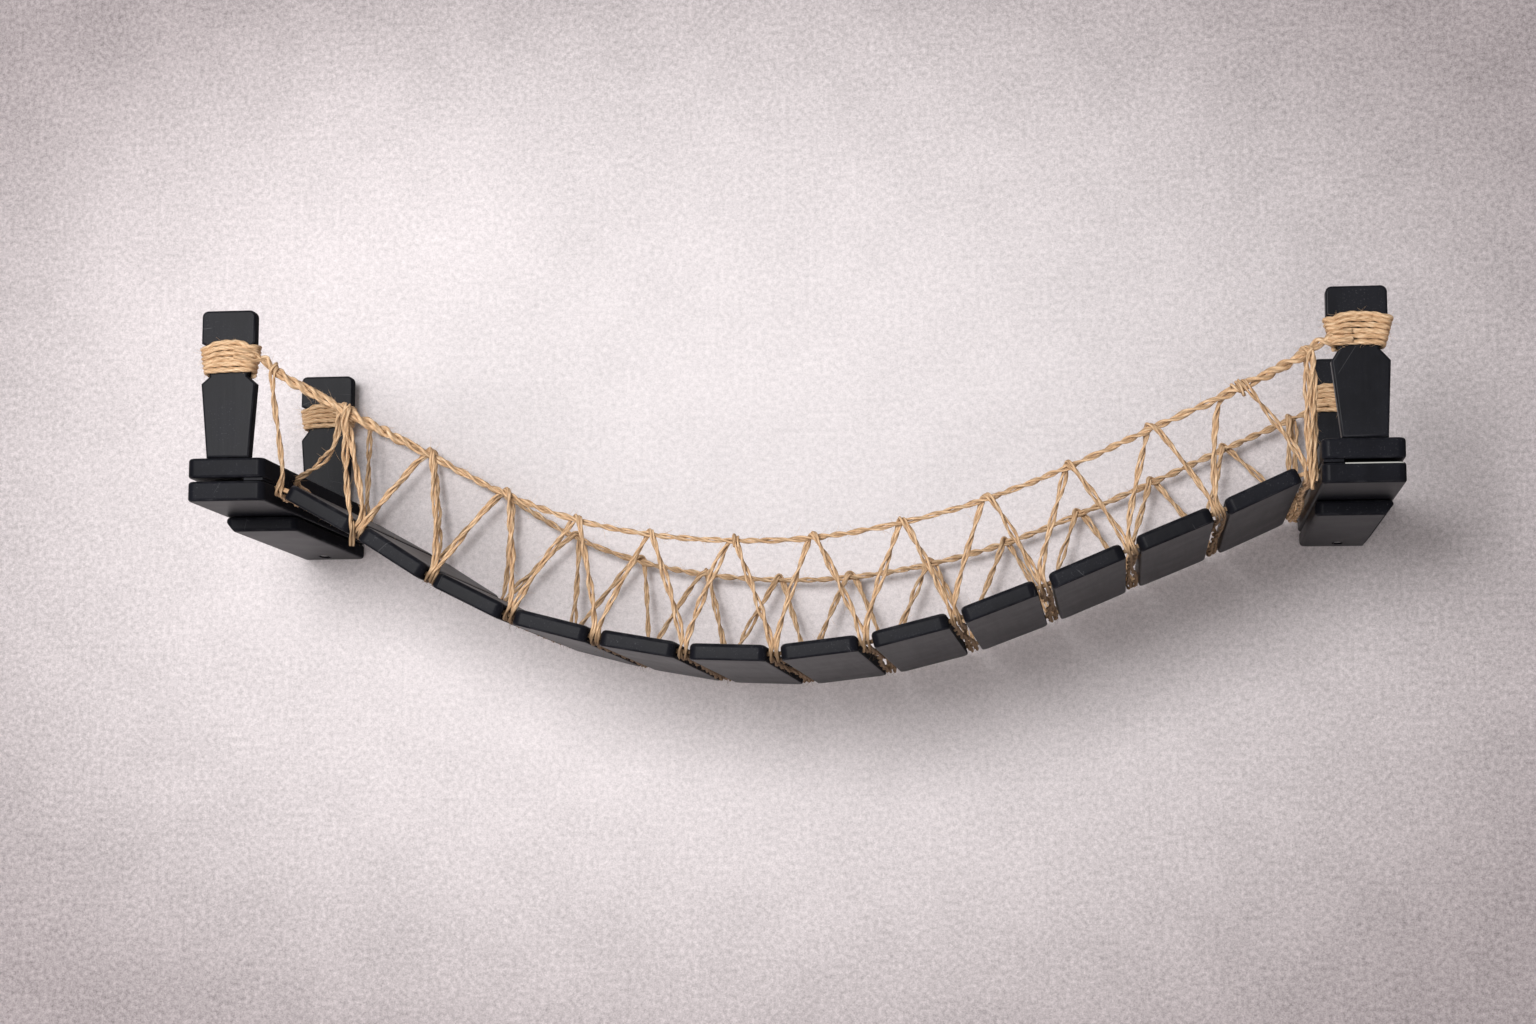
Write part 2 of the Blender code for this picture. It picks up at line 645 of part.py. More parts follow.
def hang(count):
    """Tilts of the slats and of the gaps between them, for this many slats."""
    slats = [read_table(SLAT_TILTS, index / (count - 1)) for index in range(count)]
    gaps = [slats[0] / 2] + [(a + b) / 2 for a, b in zip(slats, slats[1:])] + [slats[-1] / 2]
    return slats, gaps


def gap_shares(count):
    """Each gap's width as a share of the mean gap; they widen to the right."""
    return [1 + GAP_SPREAD_SHARE * (2 * (index + 0.5) / (count - 1) - 1) for index in range(count - 1)]


def deck_layout():
    """Slats and gaps as (middle, tilt), found so that the chain just spans the platforms."""
    start = Vector((BOARD_WIDTH / 2, CORD_LEVEL))
    span = PLATFORM_SPACING - BOARD_WIDTH
    best = None
    for count in range(2, int(span / SLAT_WIDTH) + 4):
        slats, gaps = hang(count)
        fixed = Vector((0, 0))
        for tilt in slats:
            fixed += direction(tilt) * SLAT_WIDTH
        fixed += direction(gaps[0]) * LEFT_END_GAP + direction(gaps[-1]) * RIGHT_END_GAP
        stretch = Vector((0, 0))
        for tilt, share in zip(gaps[1:-1], gap_shares(count)):
            stretch += direction(tilt) * share
        # |fixed + gap * stretch| = span
        a, b, c = stretch.dot(stretch), 2 * fixed.dot(stretch), fixed.dot(fixed) - span ** 2
        gap = (-b + math.sqrt(b * b - 4 * a * c)) / (2 * a)
        if gap >= LEAST_GAP:
            best = (slats, gaps, gap, fixed + stretch * gap)
    slats, gaps, gap, end = best
    level = -math.degrees(math.atan2(end.y, end.x))
    middle_gaps = [gap * share for share in gap_shares(len(slats))]
    widths = [LEFT_END_GAP, *middle_gaps, RIGHT_END_GAP]
    here = start
    slat_places, gap_places = [], []
    for index, width in enumerate(widths):
        tilt = gaps[index] + level
        gap_places.append((here + direction(tilt) * width / 2, tilt))
        here = here + direction(tilt) * width
        if index < len(slats):
            tilt = slats[index] + level
            slat_places.append((here + direction(tilt) * SLAT_WIDTH / 2, tilt))
            here = here + direction(tilt) * SLAT_WIDTH
    return slat_places, gap_places


def rail_ends(row):
    """A handrail's two ends, each against the deck's side of a winding."""
    ends = []
    for (centre, way), height in zip(SIDES.values(), RAILS[row][0]):
        # The turn at the handrail's top edge lies higher up, where the post is wider
        heights = (height - RAIL_RADIUS, height, height + RAIL_RADIUS + TWINE_DIAMETER)
        widest = max(half_width(level) for level in heights)
        reach = widest + TWINE_GRIP + TWINE_RADIUS + SEAT
        ends.append(Vector((centre + way * reach, DECK_TOP + height)))
    return ends


def rail_point(share, row):
    """The handrail's middle at a share of its span, in the wall's plane."""
    start, end = rail_ends(row)
    starts, sag, drop_shares = RAILS[row]
    lead = RAIL_LEAD / (end.x - start.x)
    places = (0, lead, *KNOT_PLACE_SHARES, 1 - lead, 1)
    drops = (0, 0, *drop_shares, 0, 0)
    for low, high, drop, next_drop in zip(places, places[1:], drops, drops[1:]):
        if share <= high:
            fall = between(drop, next_drop, (share - low) / (high - low))
            break
    return start.lerp(end, share) - Vector((0, sag * fall))


def knot_shares(count):
    """Where along a handrail its knots sit, one over each slat and one at each end."""
    return [read_table(KNOT_PLACE_SHARES, index / (count + 1)) for index in range(count + 2)]


def to_space(place, y):
    return Vector((place.x, y, place.y))


def cord_anchor(side, row):
    """A deck cord's last stretch: over the slit's edge, inwards, then down into its bore."""
    centre, way = SIDES[side]
    edge = centre + way * BOARD_WIDTH / 2
    y = CORD_ROWS[row]
    bore = edge - way * CORD_RUN
    route = [Vector((bore, y, LOWER_TOP - CORD_DEPTH))]
    middle = Vector((bore + way * CORD_BEND, y, CORD_LEVEL - CORD_BEND))
    for degrees in (180, 150, 120, 90):
        turn = math.radians(degrees)
        route.append(middle + Vector((way * math.cos(turn), 0, math.sin(turn))) * CORD_BEND)
    route.append(Vector((edge, y, CORD_LEVEL)))
    slats, gaps = deck_layout()
    place, tilt = gaps[0] if side == "left" else gaps[-1]
    route.append(to_space(place, y))
    return route


# Deck pieces

def bell_bore(name, place, tilt, y):
    """A bore along a slat's width, narrow in the middle and flared so that the slat can rock."""
    half = SLAT_WIDTH / 2
    swing = half * math.tan(math.radians(SLAT_ROCK))
    throat = clear_radius(CORD_RADIUS, CORD_PLAY, SCREW_STEPS)
    mouth = clear_radius(CORD_RADIUS, CORD_PLAY + swing, SCREW_STEPS)
    slope = (mouth - throat) / half
    wide = mouth + slope * OVERRUN
    long = half + OVERRUN
    profile = [(0, long), (wide, long), (throat, 0), (wide, -long), (0, -long)]
    bore = turned(name, profile, to_space(place, y), SCREW_STEPS)
    bore.rotation_euler.y = math.pi / 2 - math.radians(tilt)
    return bore


def make_slats(slat_places):
    corners = rectangle(SLAT_WIDTH, SLAT_LENGTH, SLAT_CORNER)
    for number, (place, tilt) in enumerate(slat_places, 1):
        name = f"slat_{number:02d}"
        mesh = extrude_outline(name, corners, SLAT_THICKNESS, SLAT_EDGE, rounds=0)
        slat = add_mesh(name, mesh, PAINT["slat"])
        slat.location = to_space(place, DECK_MIDDLE)
        slat.rotation_euler.y = -math.radians(tilt)
        for row, y in CORD_ROWS.items():
            cut(slat, bell_bore(f"cut_{name}_{row}_cord", place, tilt, y))


def make_deck_cord(row, slat_places):
    """One cord from anchor to anchor, straight inside each slat."""
    y = CORD_ROWS[row]
    half = SLAT_WIDTH / 2
    route = cord_anchor("left", row)[:-1]
    for place, tilt in slat_places:
        route.append(to_space(place - direction(tilt) * half, y))
        route.append(to_space(place + direction(tilt) * half, y))
    route += reversed(cord_anchor("right", row)[:-1])
    make_tube(row + "_deck_cord", route, CORD_RADIUS, 2, TWINE["cord"])


def make_handrail(row, count):
    y = POST_ROWS[row]
    start, end = rail_ends(row)
    lead = RAIL_LEAD / (end.x - start.x)
    shares = [0, lead, *knot_shares(count), 1 - lead, 1]
    knots = [to_space(rail_point(share, row), y) for share in shares]
    make_tube(row + "_handrail", smooth_route(knots, RAIL_STEPS), RAIL_RADIUS, 2, TWINE["rail"])


def wrap_knot(share, row, first, last):
    """Lacing over the handrail: up outside it, over, and down inside it."""
    y = POST_ROWS[row]
    here = to_space(rail_point(share, row), y)
    lead = RAIL_LEAD / PLATFORM_SPACING
    along = to_space(rail_point(share + lead, row) - rail_point(share - lead, row), 0)
    along.normalize()
    up = Vector((-along.z, 0, along.x))
    outward = Vector((0, OUTWARD[row], 0))
    half_step = max(a - b for a, b in zip(WRAP_ANGLES, WRAP_ANGLES[1:])) / 2
    clear = RAIL_RADIUS + TWINE_RADIUS + LACE_TURN_GAP
    reach = clear / math.cos(math.radians(half_step))
    points = []
    for index, degrees in enumerate(WRAP_ANGLES):
        turn = math.radians(degrees)
        shift = (index / (len(WRAP_ANGLES) - 1) - 1 / 2) * WRAP_SHIFT
        points.append(here - outward * math.cos(turn) * reach + up * math.sin(turn) * reach
                      + along * shift)
    if first:
        points = points[1:]
    if last:
        points = points[:-1]
    return points


def cross_gap(place, tilt, start_row, lower):
    """Lacing through a gap: down outside one deck cord, under both, and up outside the other."""
    end_row = "back" if start_row == "front" else "front"
    along = to_space(direction(tilt), 0)
    up = Vector((-along.z, 0, along.x))
    beside = TWINE_RADIUS + LACE_SIDE_GAP / 2
    clear = CORD_RADIUS + TWINE_RADIUS + LACE_TURN_GAP
    corner = clear * math.tan(math.radians(45) / 2)
    enter = to_space(place, CORD_ROWS[start_row]) - along * beside
    leave = to_space(place, CORD_ROWS[end_row]) + along * beside
    out = Vector((0, OUTWARD[start_row], 0))
    over = Vector((0, (leave - enter).y, 0)) * LACE_CROSS_SHARE
    level = up * (-clear if lower else TWINE_DIAMETER + LACE_SIDE_GAP - clear)
    return [
        enter + out * clear + up * LACE_RISE,
        enter + out * clear - up * corner,
        enter + out * corner - up * clear,
        enter + over + level,
        leave - over + level,
        leave - out * corner - up * clear,
        leave - out * clear - up * corner,
        leave - out * clear + up * LACE_RISE]


def make_lacing(name, first_row, gap_places):
    """One twine laced from end to end: over a handrail, through a gap, over the other handrail."""
    shares = knot_shares(len(gap_places) - 1)
    row = first_row
    route = []
    for index, (place, tilt) in enumerate(gap_places):
        route += wrap_knot(shares[index], row, index == 0, False)
        route += cross_gap(place, tilt, row, first_row == "front")
        row = "back" if row == "front" else "front"
    route += wrap_knot(shares[-1], row, False, True)
    make_tube(name, route, TWINE_RADIUS, 1, TWINE["lacing"])


def build():
    slat_places, gap_places = deck_layout()
    for side, (centre, way) in SIDES.items():
        make_platform(side, centre, way)
        for row in POST_ROWS:
            make_post(side, row, centre)
            make_winding(side, row, centre, way)
    make_slats(slat_places)
    for row in CORD_ROWS:
        make_deck_cord(row, slat_places)
        make_handrail(row, len(slat_places))
    make_lacing("first_lacing", "front", gap_places)
    make_lacing("second_lacing", "back", gap_places)


for old in list(bpy.data.objects):
    bpy.data.objects.remove(old)

PARTS = make_collection("cat_wall_bridge")
CUTTERS = make_collection("cutters")
BLACK = (0.022, 0.024, 0.028)
JUTE = (0.58, 0.38, 0.20)
PAINT = {kind: make_material(kind + "_paint", BLACK, 0.42)
         for kind in ("board", "spacer", "block", "post", "slat")}
TWINE = {kind: make_material(kind + "_jute", JUTE, 0.9)
         for kind in ("winding", "lacing", "rail", "cord")}
STEEL = make_material("zinc_plated_steel", (0.62, 0.62, 0.60), 0.35, 1.0)
BEECH = make_material("beech_dowel", (0.62, 0.42, 0.24), 0.6)
build()
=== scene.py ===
"""Cat wall bridge: painted wood, laid jute twine and the studio wall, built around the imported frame.

Metres, +X along the wall to the right, +Y into the wall, +Z up. The wall is the plane y = 0.
"""

import json
import math

import bmesh
import bpy
import numpy as np
from mathutils import Matrix, Vector, noise


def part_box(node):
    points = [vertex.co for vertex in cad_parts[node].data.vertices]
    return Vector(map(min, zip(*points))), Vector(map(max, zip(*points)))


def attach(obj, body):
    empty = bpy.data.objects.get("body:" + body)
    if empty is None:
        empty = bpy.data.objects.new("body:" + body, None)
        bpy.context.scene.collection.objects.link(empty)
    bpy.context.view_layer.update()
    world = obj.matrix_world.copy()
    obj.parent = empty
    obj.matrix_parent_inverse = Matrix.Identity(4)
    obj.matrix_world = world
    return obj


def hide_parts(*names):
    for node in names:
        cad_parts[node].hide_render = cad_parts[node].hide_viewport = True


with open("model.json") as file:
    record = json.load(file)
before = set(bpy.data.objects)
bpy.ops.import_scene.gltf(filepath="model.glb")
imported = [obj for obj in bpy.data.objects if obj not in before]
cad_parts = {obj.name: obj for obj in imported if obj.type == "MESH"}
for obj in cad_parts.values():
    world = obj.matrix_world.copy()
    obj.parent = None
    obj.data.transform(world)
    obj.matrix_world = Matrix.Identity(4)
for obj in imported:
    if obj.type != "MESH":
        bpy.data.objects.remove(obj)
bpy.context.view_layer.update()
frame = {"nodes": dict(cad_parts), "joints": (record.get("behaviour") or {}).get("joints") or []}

bl_info = {
    "name": "Cat Wall Bridge",
    "version": (1, 0, 0),
    "blender": (4, 5, 0),
    "location": "3D View > Sidebar > Bridge",
    "description": "Hanging bridge of black slats between two wall platforms, with laced jute sides",
    "category": "Object",
}

QUARTER_TURN = math.pi / 2
SHARP_ANGLE = math.radians(38)  # between faces that don't shade as one
FLAT_WEIGHT = 80  # how much the large faces lead the shading

# Sizes that the solids share
BOARD_CORNER = 0.006
BOARD_EDGE = 0.0022
BLOCK_EDGE = 0.0026
BLOCK_CHAMFER = (0.007, 0.008)  # width, height
SEAT = 0.0003  # gap between pieces that touch
OVERRUN = 0.004  # how far a cutter runs past the face it opens
POST_THICKNESS = 0.011
HEAD_CORNER = 0.0045
LOCK_SLOT = (0.008, 0.018, 0.0036)  # width, length, depth
LOCK_SLOT_ROW = -0.022
TWINE_RADIUS = 0.0018
RAIL_LEAD = 0.004  # how far a handrail runs at each end before it sags
KNOT_PLACE_SHARES = (
    0.016, 0.0855, 0.168, 0.241, 0.309, 0.378, 0.455,
    0.529, 0.611, 0.688, 0.763, 0.838, 0.912, 0.979)
RAILS = {
    "front": ((0.0745, 0.0700), 0.137, (
        0.069, 0.292, 0.536, 0.745, 0.886, 0.965, 1.0,
        0.989, 0.915, 0.799, 0.638, 0.448, 0.261, 0.068)),
    "back": ((0.0715, 0.0600), 0.132, (
        0.042, 0.238, 0.496, 0.743, 0.889, 0.967, 1.0,
        0.983, 0.902, 0.777, 0.604, 0.413, 0.213, 0.038)),
}  # heights of the two ends, sag, shares of the sag at the knots
CORD_RADIUS = 0.00175
CORD_INSET = 0.011
CORD_PLAY = 0.0003
CORD_ANCHORAGE = 0.018  # how far a deck cord's trough runs into a lower board
CORD_TAIL = 0.016  # how far the cord itself does
SOLID_BORE_SIDES = 8  # of a solid's bore, whose corners the round one touches
SLAT_WIDTH = 0.0550
SLAT_THICKNESS = 0.012
SLAT_CORNER = 0.006
SLAT_ROCK = 4.0  # degrees each way
BRACKET = (0.040, 0.022, 0.003, 0.060)  # width, height, thickness, tongue length

# Each post as sawn by hand: heights of its shoulder, neck, notch, ledge and top, then its
# half widths at the foot, shoulder, neck, notch and head, to the left and to the right
POST_SHAPES = {
    ("left", "front"): ((0.0542, 0.0597, 0.0824, 0.0840, 0.1080),
                        (0.0151, 0.0203, 0.0141, 0.0175, 0.0207),
                        (0.0165, 0.0201, 0.0139, 0.0175, 0.0193)),
    ("left", "back"): ((0.0523, 0.0601, 0.0787, 0.0803, 0.1050),
                       (0.0172, 0.0216, 0.0158, 0.0185, 0.0223),
                       (0.0160, 0.0202, 0.0145, 0.0178, 0.0204)),
    ("right", "front"): ((0.0536, 0.0620, 0.0845, 0.0862, 0.1063),
                         (0.0146, 0.0207, 0.0154, 0.0210, 0.0236),
                         (0.0173, 0.0200, 0.0124, 0.0183, 0.0186)),
    ("right", "back"): ((0.0505, 0.0572, 0.0786, 0.0801, 0.1022),
                        (0.0156, 0.0190, 0.0135, 0.0138, 0.0152),
                        (0.0156, 0.0197, 0.0141, 0.0170, 0.0197)),
}
WINDING_TURNS = {("left", "front"): 6, ("left", "back"): 5,
                 ("right", "front"): 6, ("right", "back"): 6}

# The lacing as laced by hand, knot by knot from left to right
KNOT_SPREADS = {
    "front": (0.004, 0.009, 0.009, 0.009, 0.006, 0.005, 0.006,
              0.006, 0.005, 0.007, 0.005, 0.007, 0.020, 0.004),
    "back": (0.004, 0.006, 0.008, 0.006, 0.007, 0.006, 0.005,
             0.007, 0.006, 0.005, 0.007, 0.006, 0.006, 0.004),
}
DOUBLE_KNOTS = {("front", 12), ("back", 5), ("front", 6)}
LACINGS = {"first_lacing": "front", "second_lacing": "back"}  # the row of the first knot
DOUBLED_LEGS = {"first_lacing": (), "second_lacing": ((1, -0.0035), (13, 0.002))}  # knot, shift
DOUBLED_START = (0.002, -0.004, -0.001)  # from the handrail's middle
DOUBLED_LEAD = (0.002, 0, 0.003)  # and on from there
DOUBLED_OUT = 0.007  # from the front deck cord to a doubled leg's foot
DOUBLED_DROP = 0.012  # and from there down into the gap
END_RISE, END_DROP = 0.012, 0.006  # how far a lacing's end points at, and into, the last gap
ONCE_ROUND, TWICE_ROUND = (-20, 200, 4), (-20, 560, 12)  # degrees from and to, points
KNOT_REACH = 0.0021  # from the handrail's middle, where its strands have their usual size
KNOT_CLEARANCE = 0.0011
CROSSING_SHARE = 0.35  # of the way from cord to cord, where a twine lies at its crossing's level
CROSSING_LIFT = 0.0042  # of the upper twine over the lower
GAP_LEAD = 0.009  # how far above a gap a leg points straight into it
SLACK_LEG = (  # from the front of the first gap up to the second front knot
    (0.0312, -0.2120, 0.0221), (0.0402, -0.2220, 0.0250), (0.0550, -0.2370, 0.0301),
    (0.0676, -0.2500, 0.0376), (0.0760, -0.2620, 0.0489))
RAIL_THICKNESS = {
    "front": ((0, 0.02, 0.08, 0.16, 0.18, 0.35, 0.6, 0.75, 0.87, 0.92, 1),
              (1.3, 1.55, 1.8, 1.75, 1.15, 0.95, 0.95, 1.0, 1.2, 1.7, 1.6)),
    "back": ((0, 0.05, 0.5, 0.9, 1), (1.1, 1.1, 1.0, 1.15, 1.1)),
}  # shares of the span, and the strands' size there
PAINT_GLOSS = {"platform_paint": 0.055, "post_paint": 0.10, "slat_paint": 0.06, "spacer_paint": 0.06}
HIGHLIGHT_START_SHARE = 0.28  # of the right lower board's width, where the painted highlight on its front rim starts
HIGHLIGHT_HEIGHT = 0.0009  # how far down from the board's top
HIGHLIGHT_FADE = 0.0005  # over which it fades out
POST_EDGE = 0.0018  # a post's eased edges, which the twine turns round
WINDING_BULGE = 0.16  # how much further the top turn stands off a post's sides
WINDING_BOW = 0.0040  # how much higher the top turn lies on a post's face than under its ledge
WINDING_FULLNESS = 1.12  # of the twine, against the solid's
WINDING_TOP_SHARE, WINDING_LOW_SHARE = 0.7, 1.5  # of the twine's radius, in from the notch's ends
WINDING_SPARE_TURN = 0.4  # of a turn, by which the twine runs on below the low end
WINDING_STEPS = 6  # points on each flat and each corner
WINDING_LIFT = 0.0006  # how far a hand's unevenness moves a turn up or down
WINDING_SLACK = 0.0003  # and how far off the post
RAIL_STRAND_REACH = 0.00125  # from the handrail's middle to its strands'
RAIL_STRAND_RADIUS = 0.00135
RAIL_STRAND = {"plies": 2, "lay": 0.030, "sides": 12, "swell": 0.14}
RAIL_END_SHARE = 0.005  # of the span, which keeps a handrail's ends straight
THIRD_STRAND = (0.172, 0.0024, 0.09, 0.0017, 0.012)  # end as a share, reach, lay, radius, taper
FORK_LIFTS = (0.0030, -0.0022)  # of the two strands, where they part at a winding
FORK_STANDOFF = 0.0046  # from a post's face to a strand's middle
FORK_END_SHARE = 0.35  # of the post's half width, where a strand ends
FORK_STEPS = (0.0006, 0.002, 0.0032, 0.0012)  # its end's rise, short of and past the corner, fall
TWINE_BACK = -0.0002  # twine lies flat where it touches the wall
# Painted shade on the twine inside the gaps and under the deck
GAP_PAINTED_SHADE = 0.8
GROOVE_DEPTH = 0.3  # at which the painted shade in a groove between plies is darkest, as a share of the radius
PLY_MIDDLE_SHARE = 0.36  # how far a ply's middle stands from its strand's, as a share of the radius

# Seeds of the pieces' looks, each the first of its kind
SLAT_SEED, WINDING_SEED, POST_SEED, RAIL_SEED = 20, 30, 40, 40
THIRD_SEED, LACING_SEED, DOUBLED_SEED, CORD_SEED = 46, 50, 60, 70

# The studio
LAMP_COLOUR = (1.0, 0.985, 0.98)
LAMPS = {
    "key": ((-1.0, -3.2, 0.58), (-0.3, 0.0, 0.05), 1.9),
    "front": ((-0.1, -3.0, 0.42), (0.3, 0.0, 0.05), 0.95),
    "fill": ((0.3, -2.9, -0.95), (0.4, 0.0, 0.0), 2.0),
}  # place, aim, diameter
# The wall's colour carries painted light: a lit middle and patch, dimming towards the edges
WALL_PAINTED_FALLOFF = (("x", 0.09, 1.28), ("y", 0.563, 1.95))  # shift and scale of the ellipse over which painted light dims towards the edges
WALL_PAINTED_LIGHT_PATCH = (("x", 0.455, 0.281), ("y", 0.33, 0.225))  # shift and half size of the painted pool of light
WALL_LEVEL = 0.934  # outside the painted pool of light
PAINTED_LIGHT_LIFT = 0.125

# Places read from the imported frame
NODES = frame["nodes"]
SIDES = {"left": 1, "right": -1}
ROWS = {"front": -1, "back": 1}
OTHER_ROW = {"front": "back", "back": "front"}


def centre_of(node):
    """The middle of a node's box."""
    low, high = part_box(node)
    return (low + high) / 2


POST_PLACES = {(side, row): centre_of(f"{side}_{row}_post") for side in SIDES for row in ROWS}
FOOT_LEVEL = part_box("left_front_post")[0].z
SLATS = sorted(name for name in NODES if name.startswith("slat_"))
SLAT_LOW, SLAT_HIGH = (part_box(SLATS[0])[index].y for index in (0, 1))
SLAT_LENGTH = SLAT_HIGH - SLAT_LOW
CORD_ROWS = {"front": SLAT_LOW + CORD_INSET, "back": SLAT_HIGH - CORD_INSET}


# Shader maths

class Shade:
    """A node's output, on which Python arithmetic adds Math nodes."""

    def __init__(self, tree, socket):
        self.tree = tree
        self.socket = socket

    def math(self, operation, *values):
        return add_node(self.tree, "ShaderNodeMath", {"operation": operation}, values)

    def __add__(self, other):
        return self.math("ADD", self, other)

    def __sub__(self, other):
        return self.math("SUBTRACT", self, other)

    def __rsub__(self, other):
        return self.math("SUBTRACT", other, self)

    def __mul__(self, other):
        return self.math("MULTIPLY", self, other)

    def __truediv__(self, other):
        return self.math("DIVIDE", self, other)

    def __abs__(self):
        return self.math("ABSOLUTE", self)

    __radd__ = __add__
    __rmul__ = __mul__

    def ramp(self, low, high):
        """0 at low, 1 at high, smooth between them."""
        settings = {"interpolation_type": "SMOOTHSTEP"}
        inputs = {"Value": self, "From Min": low, "From Max": high}
        return add_node(self.tree, "ShaderNodeMapRange", settings, inputs)


def add_node(tree, kind, settings=None, inputs=(), output=0):
    """A new node: its settings first, then its sockets' values or links."""
    node = tree.nodes.new(kind)
    for key, value in (settings or {}).items():
        if key == "stops":
            stops = node.color_ramp.elements
            while len(stops) < len(value):
                stops.new(0.5)
            for stop, (place, colour) in zip(stops, value):
                stop.position = place
                stop.color = (*colour, 1)
        else:
            setattr(node, key, value)
    pairs = inputs.items() if isinstance(inputs, dict) else enumerate(inputs)
    for key, value in pairs:
        if isinstance(value, Shade):
            tree.links.new(value.socket, node.inputs[key])
        else:
            node.inputs[key].default_value = value
    return Shade(tree, node.outputs[output])


def mix_colours(factor, first, second):
    """A colour between two, which may be plain colours or node outputs."""
    inputs = {0: factor}
    for index, colour in ((6, first), (7, second)):
        inputs[index] = colour if isinstance(colour, Shade) else (*colour, 1)
    return add_node(factor.tree, "ShaderNodeMix", {"data_type": "RGBA"}, inputs, 2)


def noise_at(place, scale, detail=3.0, roughness=0.5):
    inputs = {"Vector": place, "Scale": scale, "Detail": detail, "Roughness": roughness}
    return add_node(place.tree, "ShaderNodeTexNoise", None, inputs)


def stretched(place, scale):
    return add_node(place.tree, "ShaderNodeVectorMath", {"operation": "MULTIPLY"}, (place, scale))


def axis_of(vector, axis):
    return add_node(vector.tree, "ShaderNodeSeparateXYZ", None, (vector,), "xyz".index(axis))


def object_place(tree):
    return add_node(tree, "ShaderNodeTexCoord", None, (), 3)


def point_value(tree, name):
    """A number that the mesh carries at each point."""
    return add_node(tree, "ShaderNodeAttribute", {"attribute_name": name}, (), 2)


def joined(*axes):
    return add_node(axes[0].tree, "ShaderNodeCombineXYZ", None, axes)


def new_material(name):
    """A material with an empty tree but for its Principled shader."""
    material = bpy.data.materials.new(name)
    material.use_nodes = True
    return material, material.node_tree, material.node_tree.nodes["Principled BSDF"]


def feed(shader, **values):
    """Links or sets the shader's sockets; underscores stand for the spaces in their names."""
    for key, value in values.items():
        socket = shader.inputs[key.replace("_", " ")]
        if isinstance(value, Shade):
            value.tree.links.new(value.socket, socket)
        else:
            socket.default_value = value


def bump(shader, height, strength, distance):
    inputs = {"Strength": strength, "Distance": distance, "Height": height}
    feed(shader, Normal=add_node(height.tree, "ShaderNodeBump", None, inputs))


def piece_place(tree):
    """Object coordinates, shifted by the piece's own seed so that no two pieces look alike."""
    place = object_place(tree)
    seed = point_value(tree, "piece_seed")
    shift = joined(seed * 3.1, seed * 1.7, seed * 2.3)
    return add_node(tree, "ShaderNodeVectorMath", {"operation": "ADD"}, (place, shift))


def scratches(place, scale, width):
    """Thin straight lines that come and go."""
    settings = {"feature": "DISTANCE_TO_EDGE"}
    edge = add_node(place.tree, "ShaderNodeTexVoronoi", settings, {"Vector": place, "Scale": scale})
    line = 1 - edge.ramp(0.0, width * scale)
    return line * noise_at(place, scale * 1.7, 0).ramp(0.62, 0.67)


def black_paint(name, colours, grain, scuffs, flat_way, highlight_box=None):
    """Satin black paint over wood: grain scales for each axis, flat_way the axis of the flat faces,
    and the optional box the low and high corner of a box in which a pale highlight is painted along the
    rim."""
    material, tree, shader = new_material(name)
    place = piece_place(tree)
    cloud = noise_at(place, 28, 4, 0.6)
    streak = noise_at(stretched(place, grain), 1, 4, 0.55)
    speck = noise_at(place, 900, 2)
    base = mix_colours(cloud.ramp(0.3, 0.7), colours.paint_dark, colours.paint_light)
    dust = speck.ramp(0.62, 0.72) * cloud.ramp(0.40, 0.65) * 0.2
    base = mix_colours(dust, base, colours.paint_scuff_and_highlight)
    normal = add_node(tree, "ShaderNodeTexCoord", None, (), 1)
    facing = abs(axis_of(normal, flat_way))
    rim = facing.ramp(0.2, 0.5) * (1 - facing.ramp(0.8, 0.97))
    # Edge wear with a painted highlight: the rims lighten in patches towards the scuff colour
    wear_and_highlight = rim * noise_at(place, 70, 4, 0.7).ramp(0.42, 0.72) * 0.12
    base = mix_colours(wear_and_highlight, base, colours.paint_scuff_and_highlight)
    scratch = (scratches(place, 11, 0.0003) + scratches(place, 23, 0.0002)) * scuffs
    base = mix_colours(scratch, base, colours.paint_scuff_and_highlight)
    # A painted highlight: a pale line along the rim inside the box
    if highlight_box:
        spot = object_place(tree)
        inside = rim
        for axis, low, high in zip("xyz", *highlight_box):
            value = axis_of(spot, axis)
            inside = inside * value.ramp(low - HIGHLIGHT_FADE, low) * (1 - value.ramp(high, high + HIGHLIGHT_FADE))
        base = mix_colours(inside, base, colours.painted_highlight)
    dull = axis_of(normal, "x").ramp(0.5, 0.9)
    rough = 0.27 + cloud * 0.14 + streak * 0.07 + scratch * 0.2 + dull * 0.6
    feed(shader, Base_Color=base, Roughness=rough, Specular_IOR_Level=PAINT_GLOSS[name])
    bump(shader, streak * 0.6 + speck * 0.2 + cloud * 0.5 - scratch * 0.3, 0.3, 0.0004)
    return material


